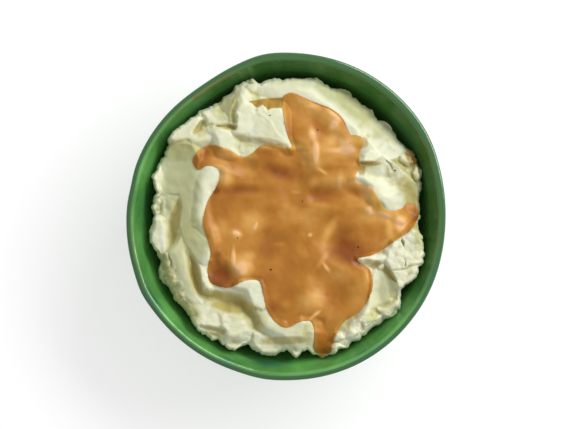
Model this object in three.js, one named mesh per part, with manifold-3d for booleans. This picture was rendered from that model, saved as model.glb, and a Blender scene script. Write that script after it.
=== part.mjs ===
// A side of mashed potato with gravy, in the hand-thrown bowl that it is served in.
// Millimetres, +Z up. The bowl's foot stands on z = 0 and its rim is centred on the Z axis.
// +Y is the side where the gravy makes its tall lobe, and +X the side where it runs out to the wall.

import * as THREE from 'three';
import { mergeVertices } from 'three/addons/utils/BufferGeometryUtils.js';
import Module from 'manifold-3d';

const wasm = await Module();
wasm.setup();

// ---- driving dimensions -------------------------------------------------------------------

const RIM_RADIUS = 90;          // mean outer radius of the rim
const RIM_HEIGHT = 62;          // top of the lip above the table
const FOOT_RADIUS = 41;         // outer edge of the foot ring
const FOOT_INNER_RADIUS = 34;
const FOOT_RECESS = 2.2;        // hollow under the foot
const FLOOR_HEIGHT = 8;         // inside bottom of the bowl
const BOWL_SEGMENTS = 64;

const FIT_GAP = 0.45;           // between the mash and the bowl
const GRAVY_GAP = 0.35;         // between the gravy and the mash, straight up
const GRAVY_THICKNESS = 1.5;    // in the middle of the pool
const GRAVY_EDGE = 0.5;         // where it thins out at its outline
const GRAVY_ROUNDING = 4.5;     // width of its rounded edge

const MASH_RINGS = 25;          // rings of triangles from the middle of the mound to its border
const MASH_BORDER_HEIGHT = 46;  // where the mound turns under; higher where it meets the wall sooner
const MASH_SHOULDER = 3.6;      // width of the rounding along the border
const MASH_CONTACT_HEIGHT = 36; // where the mash meets the wall

// The rim is thrown by hand, so it is out of round: waves round the rim, and mm of each.
const RIM_WOBBLE = [
  { waves: 1, size: 0.8, peak: -25 },
  { waves: 2, size: 1.3, peak: 64 },
  { waves: 3, size: 0.8, peak: 64 },
  { waves: 6, size: 0.3, peak: -26 },
];
const LIP_WOBBLE = [
  { waves: 2, size: 0.5, peak: 20 },
  { waves: 3, size: 0.35, peak: 95 },
];

// Inside of the wall from the middle of the floor up to the lip: radius, height.
const INNER_WALL = [
  [0, FLOOR_HEIGHT], [28, FLOOR_HEIGHT + 0.4], [44, 10.6], [57, 15], [66.5, 21.5], [73.2, 30], [77.6, 39],
  [80.8, 48], [83.4, 54.5], [85, 59.2],
];
const LIP = [[86, 61.4], [87.8, RIM_HEIGHT], [89.4, 61.4], [RIM_RADIUS, 59]];
// Outside of the wall from under the lip down to the foot.
const OUTER_WALL = [
  [89.4, 53], [87.4, 44.5], [84.2, 36], [79.6, 28], [73, 20], [64, 12.8], [53, 7.6], [FOOT_RADIUS + 1, 4],
];

// The mound's height from its middle out: radius, height.
const CROWN = [[0, 60], [20, 61], [36, 63], [48, 62.5], [58, 60], [67, 56], [76, 51], [84, 47]];

// How far the mound reaches from the middle of the bowl: degrees round from +X, mm.
const MASH_REACH = [
  [0, 75], [8, 75.5], [14, 78.3], [20, 79.5], [27, 79.6], [31, 76.4], [35, 75.6], [41, 77.4],
  [46, 75.1], [50, 77.1], [56, 75.8], [65, 79.6], [71, 76.4], [78, 80.4], [86, 77.1], [95, 78], [102, 76.1],
  [104, 79.8], [111, 79.2], [113, 76.6], [124, 75.1], [131, 76.6], [138, 78.6], [145, 80.2],
  [149, 77.6], [157, 77.3], [164, 79.3], [169, 74.6], [174, 75.9], [180, 74.9], [191, 78.8],
  [195, 75.1], [201, 75.9], [207, 79], [212, 77.9], [220, 77.4], [227, 78.5], [231, 80.6],
  [239, 80.6], [241, 79.6], [243, 81], [249, 80.8], [253, 75.2], [260, 79.4], [266, 78.6],
  [270, 75.6], [274, 79.6], [279, 75.6], [281, 79.6], [284, 80.9], [290, 81.2], [298, 80.3],
  [309, 79], [316, 80.6], [321, 81.4], [328, 76.8], [334, 80.2], [343, 80.4], [351, 78],
  [354, 73.6], [358, 74],
];

// Outline of the gravy, once round from where it runs out to the wall.
const GRAVY_OUTLINE = [
  [74.5, 1], [73, 6.5], [68, 8], [63.5, 4.5], [56, 4], [52, 9.5], [47, 16.5], [39, 20], [40, 25],
  [43, 27], [41, 31], [41.5, 36], [43, 39.5], [42.5, 44], [38.5, 45.5], [35.5, 46.5],
  [31, 55.5], [24, 60.5], [14, 64.5], [4, 69], [-2, 67], [-2.5, 61], [-0.8, 50], [0.9, 43.5],
  [2.6, 38.6], [-5, 39.9], [-14, 39.7], [-19, 35.5], [-24, 33.5], [-31, 37], [-40, 40],
  [-48, 37.8], [-52.5, 31], [-49, 25.5], [-43, 28], [-37, 25], [-39, 17], [-44, 8], [-46.5, -4],
  [-43.4, -15], [-42.2, -21], [-44, -29], [-42, -37.3], [-32, -40], [-23, -36], [-15.5, -36],
  [-13, -43], [-11, -52], [-5, -60], [1, -62], [8, -58.8], [13, -58.4], [15, -62], [15.3, -67],
  [14.8, -73], [16.5, -76.5], [20.5, -77.6], [25, -76.3], [26.5, -71], [28.5, -65.5], [33, -59],
  [42, -52.5], [48.2, -41], [47, -29.5], [39.8, -24], [50, -21], [60, -14.4], [69, -8.2], [73, -3],
];

// Crests that the spoon pushed up. Each point is x, y, top height and half width;
// fallLeft and fallRight are how far each flank drops over the half width, seen along the path.
const CRESTS = [
  // long bright crest along the left side of the gravy
  {
    path: [[-34, 29, 64.5, 6], [-40, 27, 65.5, 6], [-44.5, 20, 65.5, 6], [-47, 12, 65.4, 6],
      [-47.5, 4, 65.3, 5.5], [-45.5, -5, 65.5, 6], [-42.5, -13, 65.5, 6.5], [-40.5, -21, 65.3, 6.5],
      [-41, -29, 64.5, 5]],
    fallLeft: 3, fallRight: 1.6, blend: 1.2,
  },
  // bank below the gravy's lower left corner
  {
    path: [[-29, -38, 62.5, 4], [-22, -38.5, 64, 5], [-17, -44, 65, 6], [-15, -52, 64, 6],
      [-9, -60, 62.5, 5], [-2, -64.5, 62, 4.5], [6, -65, 61.5, 4], [14, -64, 61, 4]],
    fallLeft: 1.6, fallRight: 3.5, blend: 1,
  },
  // two nested folds at the lower left
  {
    path: [[-60.5, -13, 60.5, 4], [-58, -22, 61, 4.5], [-55.3, -33, 61, 4.5], [-51.5, -42, 60.3, 5],
      [-45, -49, 59.5, 5]],
    fallLeft: 4, fallRight: 1.3, blend: 0.8,
  },
  {
    path: [[-64, -16, 59.3, 3], [-62.3, -27, 59.3, 3.5], [-59.5, -37, 58.3, 3.5], [-54.5, -46, 57.3, 3.5]],
    fallLeft: 1.2, fallRight: 1.8, blend: 0.6,
  },
  // smooth swath to the right of the gravy
  {
    path: [[38.6, 20.4, 66, 5], [48.4, 15.2, 67, 7], [55.4, 8.2, 66.5, 7], [61.5, 2.4, 64, 5]],
    fallLeft: 4, fallRight: 3, blend: 1.2,
  },
  // bank round the lower lobe of the gravy
  {
    path: [[48.5, -27, 60, 3.5], [49.8, -38, 62, 3.5], [49.5, -49, 61.5, 4], [43.5, -57.5, 60.5, 4],
      [35, -65, 58.5, 4.5], [28, -72, 55.5, 4]],
    fallLeft: 1.8, fallRight: 3, blend: 0.8,
  },
  // smooth band round the top
  {
    path: [[-16, 73, 58.5, 5], [-6, 71.5, 61, 6], [5, 70.5, 61.5, 6], [17, 65, 62.5, 6], [28, 58, 63.5, 6],
      [36, 50, 64.5, 6], [46, 42, 65.5, 6], [54, 35, 65, 6]],
    fallLeft: 4.8, fallRight: 0.8, blend: 2.5,
  },
  // ridges that the gravy lies over
  {
    path: [[17, -4, 60, 6], [19.5, -13, 62, 6], [20, -22, 62, 6], [24, -30, 61, 6]],
    fallLeft: 1.6, fallRight: 1.6, blend: 3,
  },
  {
    path: [[31, 28, 62, 3.5], [31, 18, 61.5, 4], [33, 8, 60, 5]],
    fallLeft: 1.6, fallRight: 1.6, blend: 2,
  },
];

// Hollows that the spoon left. Each point is x, y, floor height and half width;
// rise is how far the hollow's sides have risen at the half width.
const SWIPES = [
  // dark fold below the big scoop
  {
    path: [[-53.5, -20, 60.5, 1.2], [-51.7, -28, 57, 2], [-50.2, -35, 56, 2.6], [-48, -41, 56, 3],
      [-43, -46, 55.5, 4.5]],
    rise: 3.5, blend: 0.4,
  },
  // long trough round the lower left, under the bank
  {
    path: [[-43, -46, 56, 4], [-34, -48, 55.5, 5], [-25, -50, 55.3, 4], [-19, -57, 57, 3],
      [-12, -65.5, 55, 2], [0, -69, 53.5, 2], [15, -69.3, 53, 2]],
    rise: 3.2, blend: 0.8,
  },
  // falling side at the right
  { path: [[62, 18, 60, 0.8], [67, 16.5, 58, 1.3], [70, 18, 57, 1]], rise: 2.4, blend: 0.3 },
  { path: [[70, 20, 54.5, 5], [71, 12, 51.5, 5.5], [70.5, 4, 51.5, 5]], rise: 3, blend: 1 },
  // basins that the gravy fills
  {
    path: [[26, -14, 60.3, 8], [37, -14, 60, 10], [50, -11, 59.3, 8], [62, -4, 58.3, 6],
      [71, 1, 55, 5]],
    rise: 1.6, blend: 5,
  },
  { path: [[4, 34, 59.5, 6], [5, 24, 58.5, 8], [2, 14, 59, 8]], rise: 2.4, blend: 3 },
  { path: [[17, 12, 59.5, 5], [27, 12, 59, 5], [37, 13, 59.5, 5]], rise: 1.8, blend: 3 },
  { path: [[24, -38, 60, 8], [31, -47, 59.3, 9]], rise: 2.4, blend: 4 },
  { path: [[19, -60, 57, 4.5], [20, -70, 54.5, 4.5], [20, -80, 50.5, 4.5]], rise: 3, blend: 1 },
  { path: [[-46, 33, 62.8, 5], [-36, 33, 61.5, 5], [-22, 28, 60.5, 6]], rise: 2.6, blend: 2 },
  { path: [[-38, -31, 60, 6], [-31, -34, 60, 5]], rise: 2, blend: 2 },
];

// The scoop down the left side, and where it turns up at its top; the small scoop at the lower right.
const SCOOP = [
  [-70, 31], [-59, 31], [-48.5, 31], [-48.5, 25], [-51.5, 16], [-52.3, 3], [-52, -6], [-47, -10],
  [-42, -14], [-42, -24], [-46.5, -27], [-50, -24.5], [-53, -20.5], [-58, -14], [-59.5, -6],
  [-59.5, 12.5], [-70, 12.5], [-75, 20], [-72, 28],
];
const SCOOP_TOP = [[-70.5, 30], [-66, 41], [-58, 42], [-51, 41], [-48, 33], [-48.5, 30]];
const RIGHT_SCOOP = [[51.5, -31], [55, -31], [60, -38], [63, -40.5], [61, -46], [55, -50], [51.5, -51]];

const FACE_BLEND = 0.5;
const SCOOP_BLEND = 1.6;        // the scoops run out softly
const FACE_ROUNDING = 1.8;      // how softly a face goes over into the mash round it

// Flat faces that the spoon cut, and plates that it broke off (cut: false): height in the middle of the
// corners, slopes along x and y, how steep the mash is beside it, how softly it meets it, and the corners.
const FACES = [
  { cut: true, height: 60.5, slopes: [0.42, 0], edge: 0.5, blend: SCOOP_BLEND, corners: SCOOP },
  { cut: false, height: 60.5, slopes: [0.42, 0], edge: 1.3, blend: SCOOP_BLEND, corners: SCOOP },
  { cut: true, height: 61, slopes: [0.4, 0.2], edge: 0.9, blend: SCOOP_BLEND, corners: SCOOP_TOP },
  { cut: false, height: 61, slopes: [0.4, 0.2], edge: 1.3, blend: SCOOP_BLEND, corners: SCOOP_TOP },
  {
    cut: false, height: 56.5, slopes: [-0.5, -0.1], edge: 1.3,
    corners: [[-74.8, 20.5], [-70.5, 28], [-68.8, 24], [-69.3, 15], [-72, 13.5]],
  },
  {
    cut: false, height: 55.5, slopes: [0.02, -0.1], edge: 1.2,
    corners: [[-70.5, 12], [-60.5, 12], [-64, 4], [-67.5, -1]],
  },
  {
    cut: false, height: 54.5, slopes: [-0.1, 0.1], edge: 1.3,
    corners: [[-74.5, 9], [-70.5, 11], [-68.8, 2], [-71, -1], [-74.5, 1]],
  },
  {
    cut: false, height: 58, slopes: [0.06, 0.05], edge: 1.3,
    corners: [[-72.5, -1], [-68.5, -1.5], [-67, -8], [-66.8, -17], [-70, -21], [-74, -19], [-75.5, -12]],
  },
  {
    cut: true, height: 54.5, slopes: [0.9, 0.1], edge: 1.3,
    corners: [[-59.3, 12.5], [-61.5, 8], [-64.5, -4], [-66.5, -16], [-62, -13], [-59, -8]],
  },
  {
    cut: false, height: 63.3, slopes: [-0.1, 0], edge: 1.3,
    corners: [[-49.3, -26], [-48.3, -31], [-47, -36], [-45.7, -39.5], [-42.3, -42.3], [-40.5, -40.5],
      [-43, -37], [-44.5, -31], [-45.3, -26]],
  },
  {
    cut: false, height: 62.2, slopes: [0.03, -0.08], edge: 1.3,
    corners: [[-66, 44.5], [-62, 49.5], [-56, 54], [-50, 55.5], [-47.5, 53], [-50, 47], [-54, 43.5],
      [-62, 42]],
  },
  {
    cut: false, height: 64, slopes: [0.1, -0.1], edge: 1,
    corners: [[-53, 43.5], [-47, 45.5], [-41, 45.5], [-40.5, 43.5], [-45, 42], [-52, 41]],
  },
  {
    cut: false, height: 61.5, slopes: [0, -0.08], edge: 1.3,
    corners: [[-46, 57], [-44, 52], [-38, 51.5], [-31, 51], [-29, 54], [-33, 56.5], [-40, 58]],
  },
  {
    cut: true, height: 56.5, slopes: [0.3, -0.15], edge: 1.2,
    corners: [[-40, 57.5], [-34, 66], [-29, 68.5], [-27.5, 62], [-29, 54.5], [-33, 56.5]],
  },
  {
    cut: true, height: 60.5, slopes: [0.12, 0.28], edge: 1.3,
    corners: [[-21, 64], [-14, 65.7], [-1, 66], [-1, 58], [-11, 57.5], [-18, 60]],
  },
  {
    cut: false, height: 66.2, slopes: [-0.05, -0.05], edge: 1.3,
    corners: [[-28.7, 46.5], [-28.6, 57], [-26.5, 61.5], [-24, 63.9], [-19, 62.3], [-16.5, 60.3], [-16, 54],
      [-20, 46], [-22, 44.5]],
  },
  {
    cut: false, height: 66, slopes: [0.06, 0.06], edge: 0.9,
    corners: [[-20, 58.5], [-12, 56.5], [-5, 48.5], [0, 42], [-1, 39.8], [-6, 39.8], [-11, 42],
      [-21, 43.6], [-20, 50]],
  },
  {
    cut: false, height: 66.1, slopes: [-0.06, -0.03], edge: 1.3,
    corners: [[-16.3, 60.2], [-13, 61.6], [-11.5, 60], [-10.5, 58.4], [-9, 59.4], [-3, 59.9], [-1, 56],
      [0.8, 49], [2, 42], [2.4, 38.6], [-1, 40], [-7, 48], [-13, 54.5], [-17, 56]],
  },
  {
    cut: false, height: 66.3, slopes: [-0.12, -0.1], edge: 1.3,
    corners: [[-39.5, 47], [-37, 49.5], [-31, 46.5], [-27.5, 42], [-29, 36], [-36, 37.5]],
  },
  {
    cut: false, height: 65.6, slopes: [-0.05, -0.03], edge: 1.3,
    corners: [[-28.6, -38.8], [-24, -36], [-14, -35.5], [-12, -43], [-11, -50], [-13.5, -52],
      [-18.6, -50], [-20.8, -45], [-22.5, -41.5]],
  },
  {
    cut: false, height: 62.6, slopes: [0.03, 0.02], edge: 0.9,
    corners: [[-10, -56], [-5, -59.5], [1, -61.5], [8, -57.5], [13, -58.5], [13.5, -64], [8, -67],
      [0, -66.5], [-6, -64.5], [-10.5, -60]],
  },
  {
    cut: false, height: 62.6, slopes: [-0.06, -0.04], edge: 1.2,
    corners: [[-49, -53], [-45, -51], [-40, -51], [-36.5, -53], [-34.5, -56], [-35.5, -60.5],
      [-40, -62.3], [-46, -62], [-50.5, -59]],
  },
  {
    cut: false, height: 63, slopes: [-0.08, -0.05], edge: 1.2,
    corners: [[-37, -55], [-31, -53.5], [-26, -55.5], [-21.8, -59], [-22, -63], [-26, -66.5],
      [-32, -67], [-35.5, -62]],
  },
  {
    cut: false, height: 57.3, slopes: [0.02, 0.04], edge: 1.3,
    corners: [[-51, -60], [-46, -60], [-38, -63], [-35, -66.5], [-38, -69.5], [-43, -70], [-49, -66]],
  },
  {
    cut: false, height: 58, slopes: [-0.08, -0.02], edge: 1.3,
    corners: [[-37.5, -67.5], [-33, -66], [-24, -66.5], [-22.2, -71], [-25, -75], [-32, -75.5],
      [-36.5, -72]],
  },
  {
    cut: false, height: 57, slopes: [-0.1, 0.22], edge: 1.3,
    corners: [[-19, -63.5], [-12, -66], [-3, -69], [0, -73], [-7, -76], [-13, -77], [-18, -72]],
  },
  {
    cut: false, height: 55.5, slopes: [-0.1, 0.15], edge: 1.3,
    corners: [[2, -71], [9, -71], [11, -74], [8, -78], [4, -78.5]],
  },
  {
    cut: false, height: 63.5, slopes: [-0.05, 0.02], edge: 1.3,
    corners: [[56.5, -18.5], [60, -14.5], [64, -12], [70, -7], [74, -8], [76.5, -12], [78.5, -18],
      [76, -22], [75.5, -26], [70, -28], [62, -30], [57.5, -30], [55, -25]],
  },
  {
    cut: false, height: 62.2, slopes: [-0.04, 0.03], edge: 1.3,
    corners: [[57.5, -30], [62, -30], [70, -28], [75, -27], [73, -32], [71, -37.5], [66, -41],
      [61.5, -38.5]],
  },
  {
    cut: false, height: 64, slopes: [-0.1, -0.3], edge: 1.3,
    corners: [[39.5, -23.3], [46, -22.3], [56, -20.3], [57, -24], [50, -25.3], [42, -25]],
  },
  { cut: true, height: 56.8, slopes: [0.1, 0.26], edge: 1.0, blend: SCOOP_BLEND, corners: RIGHT_SCOOP },
  { cut: false, height: 56.8, slopes: [0.1, 0.26], edge: 1.3, blend: SCOOP_BLEND, corners: RIGHT_SCOOP },
  {
    cut: false, height: 58, slopes: [-0.1, 0.1], edge: 1.3,
    corners: [[51, -52], [56, -50.5], [62, -46], [62.5, -41], [65, -41], [66.5, -46], [65, -49.5],
      [60.5, -51], [58.5, -56], [54, -55.5]],
  },
  {
    cut: true, height: 50, slopes: [-0.62, -0.72], edge: 0.9,
    corners: [[14, 80], [20, 71], [28, 66.5], [38, 58], [46, 51], [54, 43], [60, 35], [68, 38], [62, 52],
      [50, 64], [34, 74]],
  },
  {
    cut: false, height: 66.3, slopes: [-0.12, -0.2], edge: 1.3,
    corners: [[42, 31], [43, 35], [46, 38], [52, 37], [53, 33], [48, 30.5]],
  },
];

// Clods of mash: centre x, y and top height; radii; turn in degrees;
// how far the edge has dropped at the radii, and how suddenly.
const CLODS = [
  { at: [-38, 58, 56.5], size: [5, 3], turn: 35, drop: 3, power: 3 },
  { at: [44.5, -58, 61], size: [4.5, 4], turn: 45, drop: 3, power: 3.5 },
  { at: [37.5, -64, 59.5], size: [4, 4], turn: 20, drop: 3, power: 3.5 },
  { at: [30, -67.5, 58.5], size: [3.5, 3], turn: -10, drop: 3, power: 3 },
  { at: [29, -73.5, 58.5], size: [3.8, 3], turn: -10, drop: 3, power: 3 },
  { at: [52.6, -26.8, 61.8], size: [2.6, 2], turn: 20, drop: 2, power: 3 },
  { at: [66, 32, 57], size: [4, 3], turn: -40, drop: 3, power: 3 },
  { at: [73, 24, 55], size: [2.5, 5], turn: 0, drop: 3, power: 3 },
];
const CLOD_BLEND = 0.35;

// Lumps that show through the gravy: centre, height above the pool, radii.
const GRAVY_LUMPS = [
  { at: [-26.5, -28], rise: 1.4, size: [5, 5.6] },
  { at: [15, -49], rise: 1, size: [5.5, 5] },
  { at: [64.3, -4.6], rise: 0.6, size: [3.4, 3.8] },
  { at: [-33, 24], rise: 0.6, size: [4.5, 5] },
  { at: [34, 39], rise: 0.7, size: [6, 3.5] },
  { at: [16, 39], rise: 0.8, size: [2.4, 8] },
  { at: [24, -8], rise: 0.7, size: [3.5, 7] },
];

const CURVE_STEPS = 6;          // pieces of a stroke's path between two of its points
const OUTLINE_STEPS = 2;        // pieces of an outline between two of its points

// ---- curves -------------------------------------------------------------------------------

// A smooth line through points with any number of values each.
function smoothThrough(points, steps, closed) {
  const count = points.length;
  const at = (i) => {
    if (closed) return points[(i + count) % count];
    return points[Math.min(Math.max(i, 0), count - 1)];
  };
  const line = [];
  const spans = closed ? count : count - 1;
  for (let i = 0; i < spans; i += 1) {
    const [before, from, to, after] = [at(i - 1), at(i), at(i + 1), at(i + 2)];
    for (let step = 0; step < steps; step += 1) {
      const t = step / steps;
      line.push(from.map((value, k) => {
        const pull = (to[k] - before[k]) / 2;
        const push = (after[k] - value) / 2;
        const cubic = 2 * value - 2 * to[k] + pull + push;
        const square = 3 * to[k] - 3 * value - 2 * pull - push;
        return value + t * (pull + t * (square + t * cubic));
      }));
    }
  }
  if (!closed) line.push(points[count - 1]);
  return line;
}

// The nearest place of a line to (x, y): distance, side (left of travel is positive) and values there.
function nearestOn(line, x, y) {
  let best = { distance: Infinity };
  for (let i = 0; i + 1 < line.length; i += 1) {
    const [a, b] = [line[i], line[i + 1]];
    const [dx, dy] = [b[0] - a[0], b[1] - a[1]];
    const along = ((x - a[0]) * dx + (y - a[1]) * dy) / (dx * dx + dy * dy);
    const t = THREE.MathUtils.clamp(along, 0, 1);
    const [offX, offY] = [x - a[0] - t * dx, y - a[1] - t * dy];
    const distance = Math.hypot(offX, offY);
    if (distance < best.distance) {
      const values = a.map((value, k) => value + t * (b[k] - value));
      best = { distance, side: Math.sign(dx * offY - dy * offX), values };
    }
  }
  return best;
}

// Distance to a closed outline, positive inside it.
function insideBy(outline, x, y) {
  const ring = [...outline, outline[0]];
  let inside = false;
  for (let i = 0; i + 1 < ring.length; i += 1) {
    const [[ax, ay], [bx, by]] = [ring[i], ring[i + 1]];
    if (ay > y !== by > y && x < ((bx - ax) * (y - ay)) / (by - ay) + ax) inside = !inside;
  }
  return nearestOn(ring, x, y).distance * (inside ? 1 : -1);
}

function interpolate(line, value, from, to) {
  for (let i = 0; i + 1 < line.length; i += 1) {
    const [a, b] = [line[i], line[i + 1]];
    if (value <= b[from]) return a[to] + ((b[to] - a[to]) * (value - a[from])) / (b[from] - a[from]);
  }
  return line[line.length - 1][to];
}

function smoothMin(a, b, blend) {
  const share = THREE.MathUtils.clamp(0.5 + (0.5 * (b - a)) / blend, 0, 1);
  return b * (1 - share) + a * share - blend * share * (1 - share);
}

function smoothMax(a, b, blend) {
  return -smoothMin(-a, -b, blend);
}

function waves(terms, angle) {
  return terms.reduce((sum, { waves: count, size, peak }) => (
    sum + size * Math.cos(count * (angle - THREE.MathUtils.degToRad(peak)))
  ), 0);
}

// ---- solids -------------------------------------------------------------------------------

const finishes = {
  glaze: new THREE.MeshStandardMaterial({ color: '#3f7a3a', roughness: 0.18, metalness: 0 }),
  mash: new THREE.MeshStandardMaterial({ color: '#e6e6c8', roughness: 0.55, metalness: 0 }),
  gravy: new THREE.MeshStandardMaterial({ color: '#b87b3a', roughness: 0.22, metalness: 0 }),
};

function meshFrom(geometry, name, finish) {
  geometry.computeVertexNormals();
  const mesh = new THREE.Mesh(geometry, finishes[finish]);
  mesh.name = name;
  return mesh;
}

function geometryFrom(points, faces) {
  const geometry = new THREE.BufferGeometry();
  geometry.setAttribute('position', new THREE.Float32BufferAttribute(points.flat(), 3));
  geometry.setIndex(faces.flat());
  return geometry;
}

function toSolid(geometry) {
  const plain = geometry.clone();
  plain.deleteAttribute('normal');
  plain.deleteAttribute('uv');
  const merged = mergeVertices(plain, 1e-4);
  return new wasm.Manifold(new wasm.Mesh({
    numProp: 3,
    vertProperties: new Float32Array(merged.attributes.position.array),
    triVerts: new Uint32Array(merged.index.array),
  }));
}

function fromSolid(solid) {
  const { vertProperties, triVerts } = solid.getMesh();
  const geometry = new THREE.BufferGeometry();
  geometry.setAttribute('position', new THREE.Float32BufferAttribute(vertProperties, 3));
  geometry.setIndex(new THREE.BufferAttribute(triVerts, 1));
  return geometry;
}

// ---- bowl ---------------------------------------------------------------------------------

// The wall follows the wobble of the rim, less and less towards the foot.
function outOfRound(radius, height, angle) {
  const share = THREE.MathUtils.smoothstep(height, 0, RIM_HEIGHT);
  return radius + (waves(RIM_WOBBLE, angle) * share * radius) / RIM_RADIUS;
}

function makeBowl() {
  const profile = [
    ...INNER_WALL,
    ...LIP,
    ...OUTER_WALL,
    [FOOT_RADIUS, 0], [FOOT_INNER_RADIUS, 0], [FOOT_INNER_RADIUS - 1, FOOT_RECESS], [0, FOOT_RECESS],
  ].map(([radius, height]) => new THREE.Vector2(radius, height)).reverse();
  const geometry = new THREE.LatheGeometry(profile, BOWL_SEGMENTS);
  geometry.rotateX(Math.PI / 2);
  const { position } = geometry.attributes;
  const point = new THREE.Vector3();
  for (let i = 0; i < position.count; i += 1) {
    point.fromBufferAttribute(position, i);
    const radius = Math.hypot(point.x, point.y);
    const angle = Math.atan2(point.y, point.x);
    const grown = radius > 1e-6 ? outOfRound(radius, point.z, angle) / radius : 1;
    const lift = waves(LIP_WOBBLE, angle) * THREE.MathUtils.smoothstep(point.z, FLOOR_HEIGHT, RIM_HEIGHT);
    position.setXYZ(i, point.x * grown, point.y * grown, point.z + lift);
  }
  return meshFrom(fromSolid(toSolid(geometry)), 'bowl', 'glaze');
}

// ---- mashed potato ------------------------------------------------------------------------

const crown = smoothThrough(CROWN, 4, false);
const reachOnceRound = [...MASH_REACH, [360, MASH_REACH[0][1]]];
const crests = CRESTS.map((crest) => ({ ...crest, line: smoothThrough(crest.path, CURVE_STEPS, false) }));
const swipes = SWIPES.map((swipe) => ({ ...swipe, line: smoothThrough(swipe.path, CURVE_STEPS, false) }));

function crestAt({ line, fallLeft, fallRight }, x, y) {
  const { distance, side, values: [, , top, halfWidth] } = nearestOn(line, x, y);
  return top - (side > 0 ? fallLeft : fallRight) * (distance / halfWidth) ** 2;
}

function swipeAt({ line, rise }, x, y) {
  const { distance, values: [, , floor, halfWidth] } = nearestOn(line, x, y);
  return floor + rise * (distance / halfWidth) ** 2;
}

function clodAt({ at, size, turn, drop, power }, x, y) {
  const [dx, dy] = [x - at[0], y - at[1]];
  const angle = THREE.MathUtils.degToRad(turn);
  const along = (dx * Math.cos(angle) + dy * Math.sin(angle)) / size[0];
  const across = (dy * Math.cos(angle) - dx * Math.sin(angle)) / size[1];
  return at[2] - drop * Math.min(Math.hypot(along, across), 3) ** power;
}

// Height of a face at a place, and how far the mash beside it differs from it there.
function faceAt({ height, slopes, edge, corners }, x, y) {
  const middle = [0, 1].map((k) => corners.reduce((sum, corner) => sum + corner[k], 0) / corners.length);
  const plane = height + slopes[0] * (x - middle[0]) + slopes[1] * (y - middle[1]);
  const outside = Math.max(FACE_ROUNDING - insideBy(corners, x, y), 0);
  return [plane, edge * (Math.hypot(outside, FACE_ROUNDING) - FACE_ROUNDING)];
}

// Height of the worked mash before its border is rounded off.
function mashHeight(x, y) {
  let z = interpolate(crown, Math.hypot(x, y), 0, 1);
  crests.forEach((crest) => {
    z = smoothMax(z, crestAt(crest, x, y), crest.blend);
  });
  FACES.filter(({ cut }) => cut).forEach((face) => {
    const [plane, beside] = faceAt(face, x, y);
    z = smoothMin(z, plane + beside, face.blend ?? FACE_BLEND);
  });
  swipes.forEach((swipe) => {
    z = smoothMin(z, swipeAt(swipe, x, y), swipe.blend);
  });
  FACES.filter(({ cut }) => !cut).forEach((face) => {
    const [plane, beside] = faceAt(face, x, y);
    z = smoothMax(z, plane - beside, face.blend ?? FACE_BLEND);
  });
  CLODS.forEach((clod) => {
    z = smoothMax(z, clodAt(clod, x, y), CLOD_BLEND);
  });
  return z;
}

// The border keeps clear of the wall, so it is higher where it reaches further out.
function borderHeight(reach, angle) {
  const wallRadius = reach + 2 * FIT_GAP;
  const wobble = outOfRound(wallRadius, MASH_BORDER_HEIGHT, angle) - wallRadius;
  return Math.max(MASH_BORDER_HEIGHT, interpolate(INNER_WALL, wallRadius - wobble, 0, 1));
}

function mashSurface(x, y, toBorder, border) {
  const share = 1 - THREE.MathUtils.clamp(toBorder / MASH_SHOULDER, 0, 1);
  return border + (mashHeight(x, y) - border) * Math.sqrt(1 - share * share);
}

// Rings of points round the middle, six more in each, out to the border of the mound.
function mashTop() {
  const points = [[0, 0, mashHeight(0, 0)]];
  for (let ring = 1; ring <= MASH_RINGS; ring += 1) {
    for (let step = 0; step < 6 * ring; step += 1) {
      const angle = (2 * Math.PI * step) / (6 * ring);
      const reach = interpolate(reachOnceRound, THREE.MathUtils.radToDeg(angle), 0, 1);
      const border = borderHeight(reach, angle);
      const radius = (reach * ring) / MASH_RINGS;
      const [x, y] = [radius * Math.cos(angle), radius * Math.sin(angle)];
      points.push([x, y, mashSurface(x, y, reach - radius, border)]);
    }
  }
  return points;
}

function firstOfRing(ring) {
  return ring === 0 ? 0 : 1 + 3 * ring * (ring - 1);
}

// Triangles between the rings, facing up.
function mashTopFaces() {
  const faces = [];
  for (let ring = 1; ring <= MASH_RINGS; ring += 1) {
    const [inner, outer] = [firstOfRing(ring - 1), firstOfRing(ring)];
    const innerCount = Math.max(6 * (ring - 1), 1);
    for (let side = 0; side < 6; side += 1) {
      for (let step = 0; step < ring; step += 1) {
        const out = outer + side * ring + step;
        const outNext = outer + ((side * ring + step + 1) % (6 * ring));
        const within = inner + ((side * (ring - 1) + step) % innerCount);
        faces.push([within, out, outNext]);
        if (step < ring - 1) {
          faces.push([within, outNext, inner + ((side * (ring - 1) + step + 1) % innerCount)]);
        }
      }
    }
  }
  return faces;
}

const topPoints = mashTop();
const topFaces = mashTopFaces();

// The mash fills the bowl under its mound: rings of points down the inside of the wall, and a floor.
function makeMash() {
  const points = [...topPoints];
  const faces = [...topFaces];
  const count = 6 * MASH_RINGS;
  const heights = [MASH_CONTACT_HEIGHT, 24, 12.5];
  let above = firstOfRing(MASH_RINGS);
  heights.forEach((height) => {
    const below = points.length;
    for (let step = 0; step < count; step += 1) {
      const angle = (2 * Math.PI * step) / count;
      const radius = outOfRound(interpolate(INNER_WALL, height - FIT_GAP, 1, 0), height, angle) - FIT_GAP;
      points.push([radius * Math.cos(angle), radius * Math.sin(angle), height + 2 * FIT_GAP]);
    }
    for (let step = 0; step < count; step += 1) {
      const next = (step + 1) % count;
      faces.push([above + step, below + step, below + next], [above + step, below + next, above + next]);
    }
    above = below;
  });
  const middle = points.length;
  points.push([0, 0, FLOOR_HEIGHT + 2 * FIT_GAP]);
  for (let step = 0; step < count; step += 1) {
    faces.push([above + step, middle, above + ((step + 1) % count)]);
  }
  return meshFrom(geometryFrom(points, faces), 'mashed_potato', 'mash');
}

// ---- gravy --------------------------------------------------------------------------------

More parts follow.
